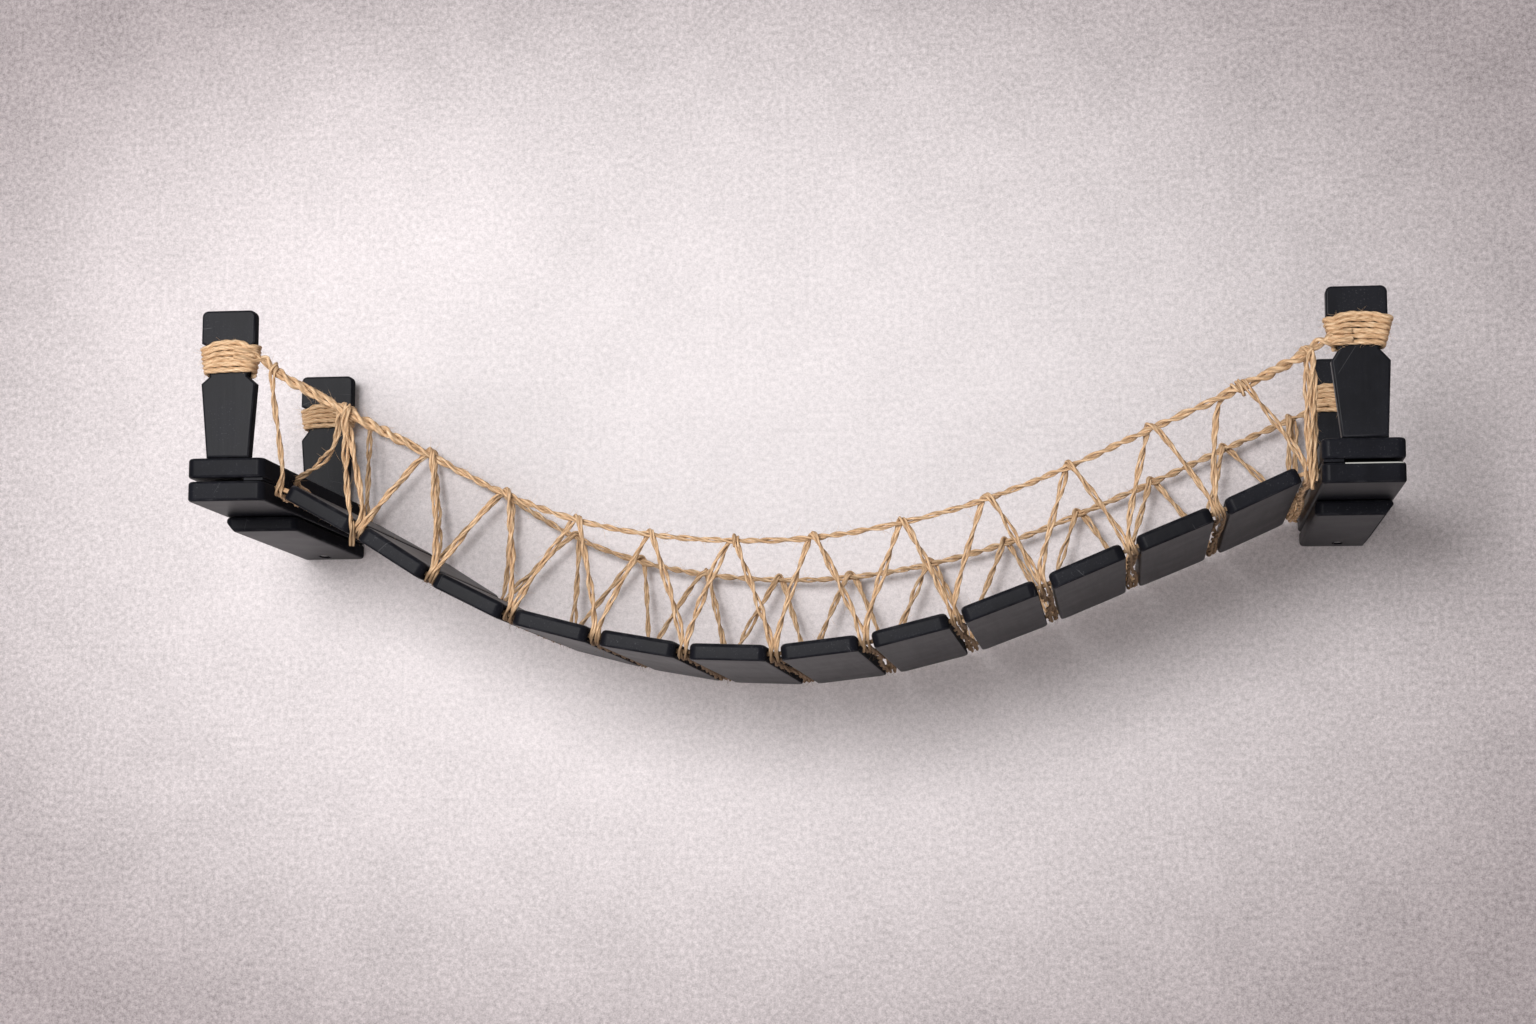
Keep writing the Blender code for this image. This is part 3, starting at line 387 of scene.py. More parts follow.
def jute_twine(name, colours):
    """Jute: pale and brown fibres that wind round each ply, with painted shade in the grooves between
    plies and inside the gaps.
    """
    material, tree, shader = new_material(name)
    place = add_node(tree, "ShaderNodeUVMap", {"uv_map": "rope"})
    along, around = axis_of(place, "x"), axis_of(place, "y")
    seed = point_value(tree, "piece_seed")
    turn = around * math.tau + along * 75
    sine, cosine = turn.math("SINE", turn), turn.math("COSINE", turn)
    fibre = noise_at(joined(along * 70 + seed * 9, sine * 2.4, cosine * 2.4), 1.0, 6, 0.72)
    slow = noise_at(joined(along * 140, seed * 7, sine * 0.9), 1.0, 4, 0.65)
    stops = [(0.36, colours.jute_dark), (0.47, colours.jute_mid), (0.56, colours.jute_light),
             (0.68, colours.jute_pale)]
    base = add_node(tree, "ShaderNodeValToRGB", {"stops": stops}, (fibre * 0.6 + slow * 0.4,))
    # Painted shade: the grooves between plies and the twine inside the gaps take a darker colour
    base = mix_colours(point_value(tree, "hollow"), base, colours.jute_painted_shade)
    feed(shader, Base_Color=base, Roughness=0.75 + fibre * 0.15, Specular_IOR_Level=0.2)
    bump(shader, fibre, 0.7, 0.0005)
    return material


def zinc_steel(name, colours):
    material, tree, shader = new_material(name)
    place = object_place(tree)
    cell = add_node(tree, "ShaderNodeTexVoronoi", None, {"Vector": place, "Scale": 240.0})
    cloud = noise_at(place, 60, 3)
    base = mix_colours(cloud.ramp(0.3, 0.7), colours.zinc_dark, colours.zinc_light)
    feed(shader, Base_Color=base, Metallic=1.0, Roughness=0.28 + cell * 0.16)
    bump(shader, cloud, 0.1, 0.0002)
    return material


def beech_wood(name, colours):
    material, tree, shader = new_material(name)
    grain = noise_at(stretched(object_place(tree), (900, 900, 60)), 1, 4)
    base = mix_colours(grain, colours.beech_dark, colours.beech_light)
    feed(shader, Base_Color=base, Roughness=0.5 + grain * 0.2)
    bump(shader, grain, 0.3, 0.0003)
    return material


# Mesh helpers

def finish_piece(piece, material, body, nodes, seed):
    """Dresses a new piece, seats it on its body and lets it stand for its CAD nodes."""
    piece.data.materials.clear()  # a cut leaves an empty slot, which would hide the new one
    piece.data.materials.append(material)
    values = piece.data.attributes.new("piece_seed", "FLOAT", "POINT")
    values.data.foreach_set("value", [seed] * len(piece.data.vertices))
    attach(piece, body)
    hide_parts(*nodes)


def finish_rope(node, strands, material, seed):
    """One mesh of a rope's strands, which stands for its CAD node on the frame."""
    piece = new_object(f"{node}_visual", rope_mesh(node, strands, seed))
    finish_piece(piece, material, "frame", [node], seed)


def mesh_of(name, shape):
    """The mesh of a finished bmesh, which isn't needed after it."""
    mesh = bpy.data.meshes.new(name)
    shape.to_mesh(mesh)
    shape.free()
    return mesh


def new_object(name, data):
    piece = bpy.data.objects.new(name, data)
    bpy.context.scene.collection.objects.link(piece)
    return piece


def rounded_outline(corners, steps):
    """The closed outline through corners (x, y, radius), each rounded to its radius."""
    points = []
    count = len(corners)
    for index, (x, y, radius) in enumerate(corners):
        here = Vector((x, y))
        if radius == 0:
            points.append(here)
            continue
        back = (Vector(corners[index - 1][:2]) - here).normalized()
        ahead = (Vector(corners[(index + 1) % count][:2]) - here).normalized()
        half = back.angle(ahead) / 2
        middle = here + (back + ahead).normalized() * (radius / math.sin(half))
        start = here + back * (radius / math.tan(half)) - middle
        end = here + ahead * (radius / math.tan(half)) - middle
        turn = math.atan2(start.cross(end), start.dot(end))
        for step in range(steps + 1):
            points.append(middle + Matrix.Rotation(turn * step / steps, 2) @ start)
    return points


def eased_plate(name, corners, thickness, edge, low_edge=None, steps=6, rounds=4):
    """A plate from an outline in XY, centred on z = 0, with its upper and lower rims rounded over."""
    shape = bmesh.new()
    rim = [shape.verts.new((*point, -thickness / 2)) for point in rounded_outline(corners, steps)]
    face = shape.faces.new(rim)
    raised = bmesh.ops.extrude_face_region(shape, geom=[face])["geom"]
    lifted = [item for item in raised if isinstance(item, bmesh.types.BMVert)]
    bmesh.ops.translate(shape, verts=lifted, vec=(0, 0, thickness))
    bmesh.ops.recalc_face_normals(shape, faces=shape.faces)
    for way, offset in ((1, edge), (-1, low_edge or edge)):
        level = way * thickness / 2
        rims = [side for side in shape.edges
                if all(abs(vertex.co.z - level) < 1e-6 for vertex in side.verts)]
        bmesh.ops.bevel(shape, geom=rims, offset=offset, segments=rounds, profile=0.5,
                        affect="EDGES", clamp_overlap=True)
    return mesh_of(name, shape)


def rectangle(width, depth, radius):
    x, y = width / 2, depth / 2
    return [(-x, -y, radius), (x, -y, radius), (x, y, radius), (-x, y, radius)]


def cutter_box(low, high):
    shape = bmesh.new()
    size, middle = Vector(high) - Vector(low), (Vector(high) + Vector(low)) / 2
    bmesh.ops.create_cube(shape, size=1, matrix=Matrix.LocRotScale(middle, None, size))
    return shape


def cutter_loft(loops):
    """A closed shape through a row of loops of points."""
    shape = bmesh.new()
    rows = [[shape.verts.new(point) for point in loop] for loop in loops]
    shape.faces.new(rows[0])
    shape.faces.new(reversed(rows[-1]))
    for first, second in zip(rows, rows[1:]):
        for index in range(len(first)):
            ahead = (index + 1) % len(first)
            shape.faces.new((first[index], second[index], second[ahead], first[ahead]))
    bmesh.ops.recalc_face_normals(shape, faces=shape.faces)
    return shape


def cutter_bore(y, rings, sides=24):
    """Turned about an axis along X at one y, from its rings' (x, radius)."""
    turns = [math.tau * (index + 0.5) / sides for index in range(sides)]
    return cutter_loft([(x, y + radius * math.cos(turn), radius * math.sin(turn)) for turn in turns]
                       for x, radius in rings)


def cut_away(piece, cutters):
    """Takes each cutter out of the piece for good."""
    for shape in cutters:
        mesh = mesh_of("cutter", shape)
        tool = new_object("cutter", mesh)
        cut = piece.modifiers.new("cut", "BOOLEAN")
        cut.operation = "DIFFERENCE"
        cut.solver = "MANIFOLD"
        cut.object = tool
        graph = bpy.context.evaluated_depsgraph_get()
        done = bpy.data.meshes.new_from_object(piece.evaluated_get(graph))
        piece.modifiers.remove(cut)
        piece.data = done
        bpy.data.objects.remove(tool)
        bpy.data.meshes.remove(mesh)


def smooth_wood(piece):
    """Round edges shade round and flat faces stay flat."""
    piece.data.shade_smooth()
    piece.data.set_sharp_from_angle(angle=SHARP_ANGLE)
    weight = piece.modifiers.new("flat faces", "WEIGHTED_NORMAL")
    weight.keep_sharp = True
    weight.weight = FLAT_WEIGHT


# Routes, as arrays of points

def smooth_line(points, step):
    """Evenly spaced points on a centripetal curve through a route's points."""
    points = np.array([tuple(point) for point in points], float)
    route = np.vstack([2 * points[0] - points[1], points, 2 * points[-1] - points[-2]])
    knots = arc_lengths(route, 0.5)
    fine = []
    for index in range(1, len(route) - 2):
        p = route[index - 1:index + 3]
        k = knots[index - 1:index + 3]
        count = max(2, int(np.linalg.norm(p[2] - p[1]) / step * 2))
        t = np.linspace(k[1], k[2], count, endpoint=False)[:, None]
        a = [(k[j + 1] - t) / (k[j + 1] - k[j]) * p[j] + (t - k[j]) / (k[j + 1] - k[j]) * p[j + 1]
             for j in range(3)]
        b = [(k[j + 2] - t) / (k[j + 2] - k[j]) * a[j] + (t - k[j]) / (k[j + 2] - k[j]) * a[j + 1]
             for j in range(2)]
        fine.append((k[2] - t) / (k[2] - k[1]) * b[0] + (t - k[1]) / (k[2] - k[1]) * b[1])
    return even_line(np.vstack([*fine, points[-1:]]), step)


def even_line(points, step):
    lengths = arc_lengths(points)
    places = np.linspace(0, lengths[-1], max(3, int(lengths[-1] / step) + 1))
    return np.stack([np.interp(places, lengths, points[:, axis]) for axis in range(3)], axis=1)


def arc_lengths(line, power=1):
    """How far along a line each point lies; a power below 1 evens out the steps."""
    return np.concatenate([[0], np.cumsum(np.linalg.norm(np.diff(line, axis=0), axis=1) ** power)])


def carried_frames(line):
    """Normals and binormals along a line, turned no more than it needs."""
    tangents = np.gradient(line, axis=0)
    tangents /= np.linalg.norm(tangents, axis=1)[:, None]
    normals = np.empty_like(line)
    side = np.cross(tangents[0], (0.3, 0.2, 1.0))
    for index, tangent in enumerate(tangents):
        side = side - tangent * np.dot(side, tangent)
        side /= np.linalg.norm(side)
        normals[index] = side
    return normals, np.cross(tangents, normals)


def waves(seed, places, length):
    """A smooth wander between about -1 and 1 along a line."""
    return np.array([noise.noise((place / length, seed * 7.31, seed * 3.17)) * 1.6
                     for place in places])


def laid_lines(line, count, radius, lay, phase=0.0, seed=0.0):
    """The strands of a rope laid round a line; radius may be one value or one a point."""
    normals, binormals = carried_frames(line)
    places = arc_lengths(line)
    drift = waves(seed + 0.5, places, lay * 1.5) * 1.3
    strands = []
    for strand in range(count):
        angle = math.tau * (places / lay + strand / count) + phase + drift
        reach = np.asarray(radius) * np.ones(len(line))
        strands.append(line + normals * (np.cos(angle) * reach)[:, None]
                       + binormals * (np.sin(angle) * reach)[:, None])
    return strands


class Strand:
    """A run of twine: its line, its radius (one or one a point), and the plies in its section."""

    def __init__(self, line, radius, plies=1, lay=0.012, sides=10, swell=0.1, taper=0.0):
        self.line = line
        self.places = arc_lengths(line)
        self.radius = np.asarray(radius) * np.ones(len(line))
        self.plies, self.lay, self.sides = plies, lay, sides
        self.swell, self.taper = swell, taper

    def girths(self, seed):
        girths = self.radius * (1 + self.swell * waves(seed, self.places, 0.007))
        if self.taper:
            ends = np.minimum(self.places, self.places[-1] - self.places)
            girths = girths * np.clip(ends / self.taper, 0.2, 1) ** 0.5
        return girths

    def section(self, seed):
        """The section's reach at each place and side, as plies that turn along the strand."""
        angles = math.tau * np.arange(self.sides) / self.sides
        if self.plies == 1:
            return angles, np.ones((len(self.line), self.sides))
        drift = waves(seed + 2.9, self.places, self.lay * 2) * 0.5
        turned = angles[None, :] - math.tau * (self.places / self.lay)[:, None] - drift[:, None]
        share = math.tau / self.plies
        from_ply = (turned + share / 2) % share - share / 2
        middle = PLY_MIDDLE_SHARE
        return angles, (middle * np.cos(from_ply)
                        + np.sqrt((1 - middle) ** 2 - (middle * np.sin(from_ply)) ** 2))


def rope_mesh(name, strands, seed):
    """Closed tubes along strands, with a UV of metres along and turns round."""
    vertices, faces, marks, painted_shades = [], [], [], []
    base = 0
    for number, strand in enumerate(strands):
        line, sides, places = strand.line, strand.sides, strand.places
        count = len(line)
        normals, binormals = carried_frames(line)
        angles, reach = strand.section(seed + number * 1.3)
        # Painted shade in the grooves between plies, and inside the gaps from gap_shade
        groove = np.clip((1 - reach) / GROOVE_DEPTH, 0, 1) ** 2 * 0.4
        painted_shades.append(np.maximum(groove, gap_shade(line)[:, None]).ravel())
        reach = reach * strand.girths(seed + number * 1.3)[:, None]
        ring = (normals[:, None, :] * np.cos(angles)[None, :, None]
                + binormals[:, None, :] * np.sin(angles)[None, :, None])
        points = (line[:, None, :] + ring * reach[:, :, None]).reshape(-1, 3)
        points[:, 1] = np.minimum(points[:, 1], TWINE_BACK)
        vertices.append(points)
        rows = base + np.arange(count - 1)[:, None] * sides
        here = rows + np.arange(sides)[None, :]
        beside = rows + (np.arange(sides) + 1)[None, :] % sides
        quads = np.stack([here, beside, beside + sides, here + sides], axis=2)
        faces.extend(quads.reshape(-1, 4).tolist())
        low, high = (np.broadcast_to(part[:, None], (count - 1, sides))
                     for part in (places[:-1], places[1:]))
        near = np.broadcast_to(np.arange(sides) / sides, (count - 1, sides))
        far = near + 1 / sides
        pairs = ((low, near), (low, far), (high, far), (high, near))
        corners = [np.stack(pair, axis=2) for pair in pairs]
        marks.append(np.stack(corners, axis=2).reshape(-1, 2))
        faces.append(list(range(base + sides - 1, base - 1, -1)))
        faces.append(list(range(base + (count - 1) * sides, base + count * sides)))
        marks.append(np.zeros((2 * sides, 2)))
        base += count * sides
    mesh = bpy.data.meshes.new(name)
    mesh.from_pydata(np.vstack(vertices).tolist(), [], faces)
    layer = mesh.uv_layers.new(name="rope")
    layer.data.foreach_set("uv", np.vstack(marks).ravel())
    hollow = mesh.attributes.new("hollow", "FLOAT", "POINT")
    hollow.data.foreach_set("value", np.concatenate(painted_shades))
    mesh.shade_smooth()
    return mesh


# The twine's colour takes painted shade inside the gaps and under the deck
def gap_shade(line):
    """How dark the twine lies: GAP_PAINTED_SHADE inside the gaps and under the deck, 0 outside."""
    deck = np.interp(line[:, 0], *zip(*((place.x, place.z) for place, _ in SLAT_LAYOUT)))
    below = np.clip((deck + 0.004 - line[:, 2]) / 0.006, 0, 1)
    inside = np.clip((line[:, 1] - SLAT_LOW + 0.001) / 0.006, 0, 1)
    return below * inside * GAP_PAINTED_SHADE


def loose_twine(line, twine, seed, parting):
    """Two strands laid long round a line, which part from each other in places."""
    places = arc_lengths(line)
    wander = np.clip(waves(seed + 4.2, places, 0.035) * 0.7 + 0.35, 0, 1)
    tight = 1 - 0.2 * gap_shade(line)
    girth = twine.strand_radius * (1 + 0.12 * waves(seed + 8.1, places, 0.05)) * tight
    lines = laid_lines(line, 2, girth * (0.72 + parting * wander * tight ** 2), twine.twine_lay,
                       seed * 2.1, seed)
    return [Strand(strand, girth, 2, twine.strand_lay) for strand in lines]


def stray_fibres(strands, twine, count, seed):
    """Short fibres that stand off the strands."""
    chance = np.random.default_rng(seed)
    found = []
    weights = np.array([len(strand.line) for strand in strands], float)
    picks = chance.choice(len(strands), count, p=weights / weights.sum())
    for pick in picks:
        strand = strands[pick]
        line = strand.line
        start = chance.integers(4, len(line) - 4)
        along = line[start + 1] - line[start - 1]
        along /= np.linalg.norm(along)
        out = np.cross(along, chance.normal(size=3))
        out /= np.linalg.norm(out)
        length = twine.hair_length * chance.uniform(0.35, 1.4)
        share = np.linspace(0, 1, 5)[:, None]
        bend = chance.normal(size=3) * 0.25
        way = along * chance.choice((-1, 1))
        route = (line[start] + out * strand.radius[start] * 0.8
                 + (way * share + out * share ** 2 * 0.5 + bend * share ** 2) * length)
        found.append(Strand(route, twine.hair_radius, sides=3, swell=0.0, taper=0.002))
    return found


# The deck's layout, read from the slats

def slat_tilt(node):
    """A slat's slope, in radians, from the long way of its section."""
    points = np.array([vertex.co for vertex in NODES[node].data.vertices], float)[:, (0, 2)]
    spread = np.cov((points - points.mean(axis=0)).T)
    _, ways = np.linalg.eigh(spread)
    way = ways[:, 1] * np.sign(ways[0, 1])
    return math.atan2(way[1], way[0])


def slat_layout():
    """Middle and slope of each slat, from left to right."""
    hinges = {joint["child"]: Vector(joint["pos_m"]) for joint in frame["joints"]}
    return [(hinges[node], slat_tilt(node)) for node in SLATS]


def deck_way(tilt):
    return Vector((math.cos(tilt), 0, math.sin(tilt)))


def gap_layout(slats, width):
    """Middle and slope of each gap, with the platforms' edges as its ends."""
    half = width / 2
    start = Vector((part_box("left_lower_board")[1].x, 0, CORD_LEVEL))
    end = Vector((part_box("right_lower_board")[0].x, 0, CORD_LEVEL))
    edges = [start]
    for place, tilt in slats:
        flat = Vector((place.x, 0, place.z))
        edges += [flat - deck_way(tilt) * half, flat + deck_way(tilt) * half]
    edges.append(end)
    tilts = [slats[0][1] / 2, *((a[1] + b[1]) / 2 for a, b in zip(slats, slats[1:])),
             slats[-1][1] / 2]
    return [((a + b) / 2, tilt) for a, b, tilt in zip(edges[::2], edges[1::2], tilts)]


CORD_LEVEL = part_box("left_lower_board")[1].z - SEAT - CORD_RADIUS
SLAT_LAYOUT = slat_layout()
GAP_LAYOUT = gap_layout(SLAT_LAYOUT, SLAT_WIDTH)


def half_width(side, row, way, height):
    """A post's reach to its left (way -1) or right (way 1), below its ledge."""
    heights, left, right = POST_SHAPES[side, row]
    return float(np.interp(height, (0, *heights[:3]), (left if way < 0 else right)[:4]))


def rail_ends(row):
    """A handrail's two ends, each against the deck's side of a winding."""
    ends = []
    for (side, way), height in zip(SIDES.items(), RAILS[row][0]):
        reach = half_width(side, row, way, height) + 2 * TWINE_RADIUS
        place = POST_PLACES[side, row]
        ends.append(Vector((place.x + way * reach, place.y, FOOT_LEVEL - SEAT + height)))
    return ends


def rail_point(share, row):
    """The handrail's middle at a share of its span."""
    start, end = rail_ends(row)
    _, sag, drop_shares = RAILS[row]
    lead = RAIL_LEAD / (end.x - start.x)
    fall = np.interp(share, (0, lead, *KNOT_PLACE_SHARES, 1 - lead, 1), (0, 0, *drop_shares, 0, 0))
    return start.lerp(end, share) - Vector((0, 0, sag * fall))


# Properties

def amount(name, description, default, **more):
    return bpy.props.FloatProperty(name=name, description=description, default=default, **more)


def length(name, description, default):
    return amount(name, description, default, unit="LENGTH")


def colour(name, description, *default):
    return bpy.props.FloatVectorProperty(
        name=name, description=description, default=default, subtype="COLOR")


class BridgeWood(bpy.types.PropertyGroup):
    slat_edge: length("Slat edge", "Radius of a slat's upper edges", 0.0032)
    slat_low_edge: length("Slat lower edge", "Radius of a slat's lower edges", 0.0016)
    post_edge: length("Post edge", "Radius of a post's eased edges", POST_EDGE)
    grain_scale: amount("Grain", "How fine the grain under the paint is", 260.0)
    scuffs: amount("Scuffs", "How plain the scratches on the posts are", 0.32, subtype="FACTOR")


class BridgeTwine(bpy.types.PropertyGroup):
    strand_radius: length("Strand radius", "Radius of one of a twine's two strands", 0.00140)
    strand_lay: length("Strand lay", "Length in which a strand's plies turn once", 0.024)
    twine_lay: length("Twine lay", "Length in which the two strands turn once", 0.060)
    parting: amount("Parting", "How far the strands part in places", 0.6)
    rail_lay: length("Handrail lay", "Length in which the handrail's strands turn once", 0.030)
    line_step: length("Line step", "Distance between rings along a twine", 0.0014)
    hairs: bpy.props.IntProperty(
        name="Hairs", description="Stray fibres on a pair of lacing twines", default=2600)
    hair_length: length("Hair length", "Length of a stray fibre", 0.006)
    hair_radius: length("Hair radius", "Radius of a stray fibre", 0.00007)


class BridgeColours(bpy.types.PropertyGroup):
    paint_dark: colour("Paint, dark", "Black paint in its darker parts", 0.0058, 0.0060, 0.0082)
    paint_light: colour("Paint, light", "Black paint in its lighter parts", 0.0095, 0.0100, 0.0140)
    # Also the colour of the rims' edge wear, which doubles as a painted highlight
    paint_scuff_and_highlight: colour("Scuff", "Scratches and dust on the paint", 0.16, 0.16, 0.17)
    # A painted highlight along the right lower board's top front rim
    painted_highlight: colour("Bare rim", "An edge rubbed down to the filler", 0.62, 0.62, 0.58)
    jute_dark: colour("Jute, dark", "Jute's darkest fibres", 0.34, 0.19, 0.09)
    # Painted shade, in the grooves between plies and on the twine inside the gaps
    jute_painted_shade: colour("Jute, hollows", "The grooves between plies and the twine inside the gaps",
                        0.10, 0.062, 0.035)
    jute_mid: colour("Jute, middle", "Jute's usual colour", 0.605, 0.383, 0.216)
    jute_light: colour("Jute, light", "Jute's lighter fibres", 0.81, 0.578, 0.364)
    jute_pale: colour("Jute, pale", "Jute's palest fibres", 0.93, 0.775, 0.565)
    zinc_dark: colour("Zinc, dark", "Zinc plating in its darker parts", 0.50, 0.50, 0.50)
    zinc_light: colour("Zinc, light", "Zinc plating in its lighter parts", 0.68, 0.68, 0.66)
    beech_dark: colour("Beech, dark", "Beech in its darker grain", 0.44, 0.27, 0.14)
    beech_light: colour("Beech, light", "Beech in its lighter grain", 0.66, 0.46, 0.28)
    # Painted light: the wall's colour runs from its lit middle to its dimmer edges
    wall_painted_bright: colour("Wall", "The wall where the light is strongest", 1.0, 0.952, 0.968)
    wall_painted_dim: colour("Wall, edges", "The wall towards the picture's edges", 0.415, 0.370, 0.379)
    floor: colour("Floor", "The studio floor", 0.80, 0.76, 0.75)


class BridgeStudio(bpy.types.PropertyGroup):
    key_power: amount("Key light", "Power of the soft box on the left, in watts", 44.0)
    front_power: amount("Front light", "Power of the soft box in front, in watts", 46.0)
    fill_power: amount("Fill light", "Power of the fill light, in watts", 10.0)
    world_level: amount("World", "Strength of the even light all round", 0.23)
    backdrop_level: amount("Backdrop", "How bright the air looks past the wall and floor", 0.7)
    lens: amount("Lens", "Focal length of the camera, in millimetres", 66.72)
    camera_place: bpy.props.FloatVectorProperty(
        name="Camera", description="Where the camera stands", subtype="TRANSLATION",
        unit="LENGTH", default=(0.63815, -2.2529, -0.2693))
    camera_turn: bpy.props.FloatVectorProperty(
        name="Camera turn", description="The camera's rotation", subtype="EULER",
        default=(math.radians(97.275), math.radians(-0.03), math.radians(7.06)))


def looks():
    scene = bpy.context.scene
    return scene.bridge_wood, scene.bridge_twine, scene.bridge_colours


# Operators

class BuildPlatforms(bpy.types.Operator):
    """Boards and support blocks of both wall platforms"""
    bl_idname = "bridge.platforms"
    bl_label = "Platforms"

    def execute(self, context):
        wood, _, colours = looks()
        grain = (14, wood.grain_scale / 12, wood.grain_scale)
        low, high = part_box("right_lower_board")
        # The box of the painted highlight along the right lower board's top front rim
        highlight_box = ((low.lerp(high, HIGHLIGHT_START_SHARE).x, low.y, high.z - HIGHLIGHT_HEIGHT),
                (high.x, low.y + BOARD_EDGE, high.z))
        paint = black_paint("platform_paint", colours, grain, scuffs=0.25, flat_way="z", highlight_box=highlight_box)
        edges = {"top_board": BOARD_EDGE, "lower_board": BOARD_EDGE, "support_block": BLOCK_EDGE}
        for number, side in enumerate(SIDES):
            for row, (part, edge) in enumerate(edges.items()):
                node = f"{side}_{part}"
                low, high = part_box(node)
                size, middle = high - low, (low + high) / 2
                mesh = eased_plate(node, rectangle(size.x, size.y, BOARD_CORNER), size.z, edge)
                piece = new_object(f"{node}_visual", mesh)
                mesh.transform(Matrix.Translation(middle))
                cut_away(piece, self.cuts(side, part, middle))
                smooth_wood(piece)
                finish_piece(piece, paint, "frame", [node], number * len(edges) + row)
        return {"FINISHED"}

    def cuts(self, side, part, middle):
        """What the fittings need taken out of a board or block."""
        width, height, thickness, tongue = BRACKET
        half = width / 2 + SEAT
        x = middle.x
        level = centre_of(f"{side}_wall_bracket").z
        found = []
        if part != "top_board":
            found.append(cutter_box((x - half, -thickness - SEAT, level - height / 2 - SEAT),
                                    (x + half, OVERRUN, level + height / 2 + SEAT)))
        if part == "support_block":
            low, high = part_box(f"{side}_support_block")
            slot_width, slot_length, slot_depth = LOCK_SLOT
            found.append(cutter_box((x - half, -tongue - SEAT, high.z - 2 * SEAT - thickness),
                                    (x + half, OVERRUN, high.z + OVERRUN)))
            slot = bmesh.new()
            plate = eased_plate("slot", rectangle(slot_width, slot_length, slot_width / 2 - SEAT),
                                2 * slot_depth, SEAT / 3, steps=1)
            plate.transform(Matrix.Translation((x, LOCK_SLOT_ROW, low.z)))
            slot.from_mesh(plate)
            found.append(slot)
            found.append(self.chamfer(side, low, high))
        if part == "lower_board":
            edge = x + SIDES[side] * (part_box(f"{side}_lower_board")[1].x - x)
            ends = (edge - SIDES[side] * CORD_ANCHORAGE, edge + SIDES[side] * OVERRUN)
            radius = CORD_RADIUS + 2 * CORD_PLAY
            low, high = CORD_LEVEL - radius, CORD_LEVEL + OVERRUN
            for y in CORD_ROWS.values():
                corners = [(y - radius, low, radius - SEAT), (y + radius, low, radius - SEAT),
                           (y + radius, high, 0), (y - radius, high, 0)]
                trough = rounded_outline(corners, steps=6)
                found.append(cutter_loft([(end, *point) for point in trough] for end in ends))
        return found

    def chamfer(self, side, low, high):
        """A wedge off the block's lower edge, on the side away from the deck."""
        width, height = BLOCK_CHAMFER
        edge, way = (low.x, -1) if side == "left" else (high.x, 1)
        across = Vector((edge - way * width, low.z))
        up = Vector((edge, low.z + height))
        beyond = (up - across).normalized() * OVERRUN
        across, up = across - beyond, up + beyond
        wedge = (across, up, (up.x, across.y))
        return cutter_loft([(x, y, z) for x, z in wedge]
                           for y in (low.y - OVERRUN, high.y + OVERRUN))


class BuildPosts(bpy.types.Operator):
    """The four notched posts"""
    bl_idname = "bridge.posts"
    bl_label = "Posts"

    def execute(self, context):
        wood, _, colours = looks()
        grain = (wood.grain_scale, wood.grain_scale, 16)
        paint = black_paint("post_paint", colours, grain, wood.scuffs, flat_way="y")
        for seed, ((side, row), place) in enumerate(POST_PLACES.items(), POST_SEED):
            node = f"{side}_{row}_post"
            mesh = eased_plate(node, self.outline(side, row), POST_THICKNESS, wood.post_edge,
                               steps=5, rounds=3)
            mesh.transform(Matrix.Translation((place.x, place.y, FOOT_LEVEL))
                           @ Matrix.Rotation(QUARTER_TURN, 4, "X"))
            piece = new_object(f"{node}_visual", mesh)
            smooth_wood(piece)
            finish_piece(piece, paint, "frame", [node], seed)
        return {"FINISHED"}

    def outline(self, side, row):
        """Up the right side and down the left, as (x, height, corner radius)."""
        heights, left, right = POST_SHAPES[side, row]
        levels = (0, *heights)
        corners = []
        for way, widths in ((1, right), (-1, left)):
            reach = (*widths, widths[-1])
            edge = [(way * width, level, 0) for width, level in zip(reach, levels)]
            edge[-1] = (way * reach[-1], levels[-1], HEAD_CORNER)
            corners += edge if way > 0 else reversed(edge)
        return corners


class BuildSlats(bpy.types.Operator):
    """The deck's slats, each with its two bell-mouthed bores"""
    bl_idname = "bridge.slats"
    bl_label = "Slats"

    def execute(self, context):
        wood, _, colours = looks()
        grain = (wood.grain_scale, 14, wood.grain_scale)
        paint = black_paint("slat_paint", colours, grain, scuffs=0.35, flat_way="z")
        corners = rectangle(SLAT_WIDTH, SLAT_LENGTH, SLAT_CORNER)
        plate = eased_plate("slat", corners, SLAT_THICKNESS, wood.slat_edge, wood.slat_low_edge)
        first = new_object("slat_master", plate)
        throat = (CORD_RADIUS + CORD_PLAY) / math.cos(math.pi / SOLID_BORE_SIDES)
        mouth = throat + SLAT_WIDTH / 2 * math.tan(math.radians(SLAT_ROCK))
        reach = SLAT_WIDTH / 2 + SEAT
        rings = ((-reach, mouth), (0, throat), (reach, mouth))
        row = SLAT_LENGTH / 2 - CORD_INSET
        cut_away(first, [cutter_bore(y, rings) for y in (row, -row)])
        for seed, (node, (place, tilt)) in enumerate(zip(SLATS, SLAT_LAYOUT), SLAT_SEED):
            piece = new_object(f"{node}_visual", first.data.copy())
            piece.location = place
            piece.rotation_euler.y = -tilt
            smooth_wood(piece)
            finish_piece(piece, paint, node, [node], seed)
        bpy.data.objects.remove(first)
        return {"FINISHED"}


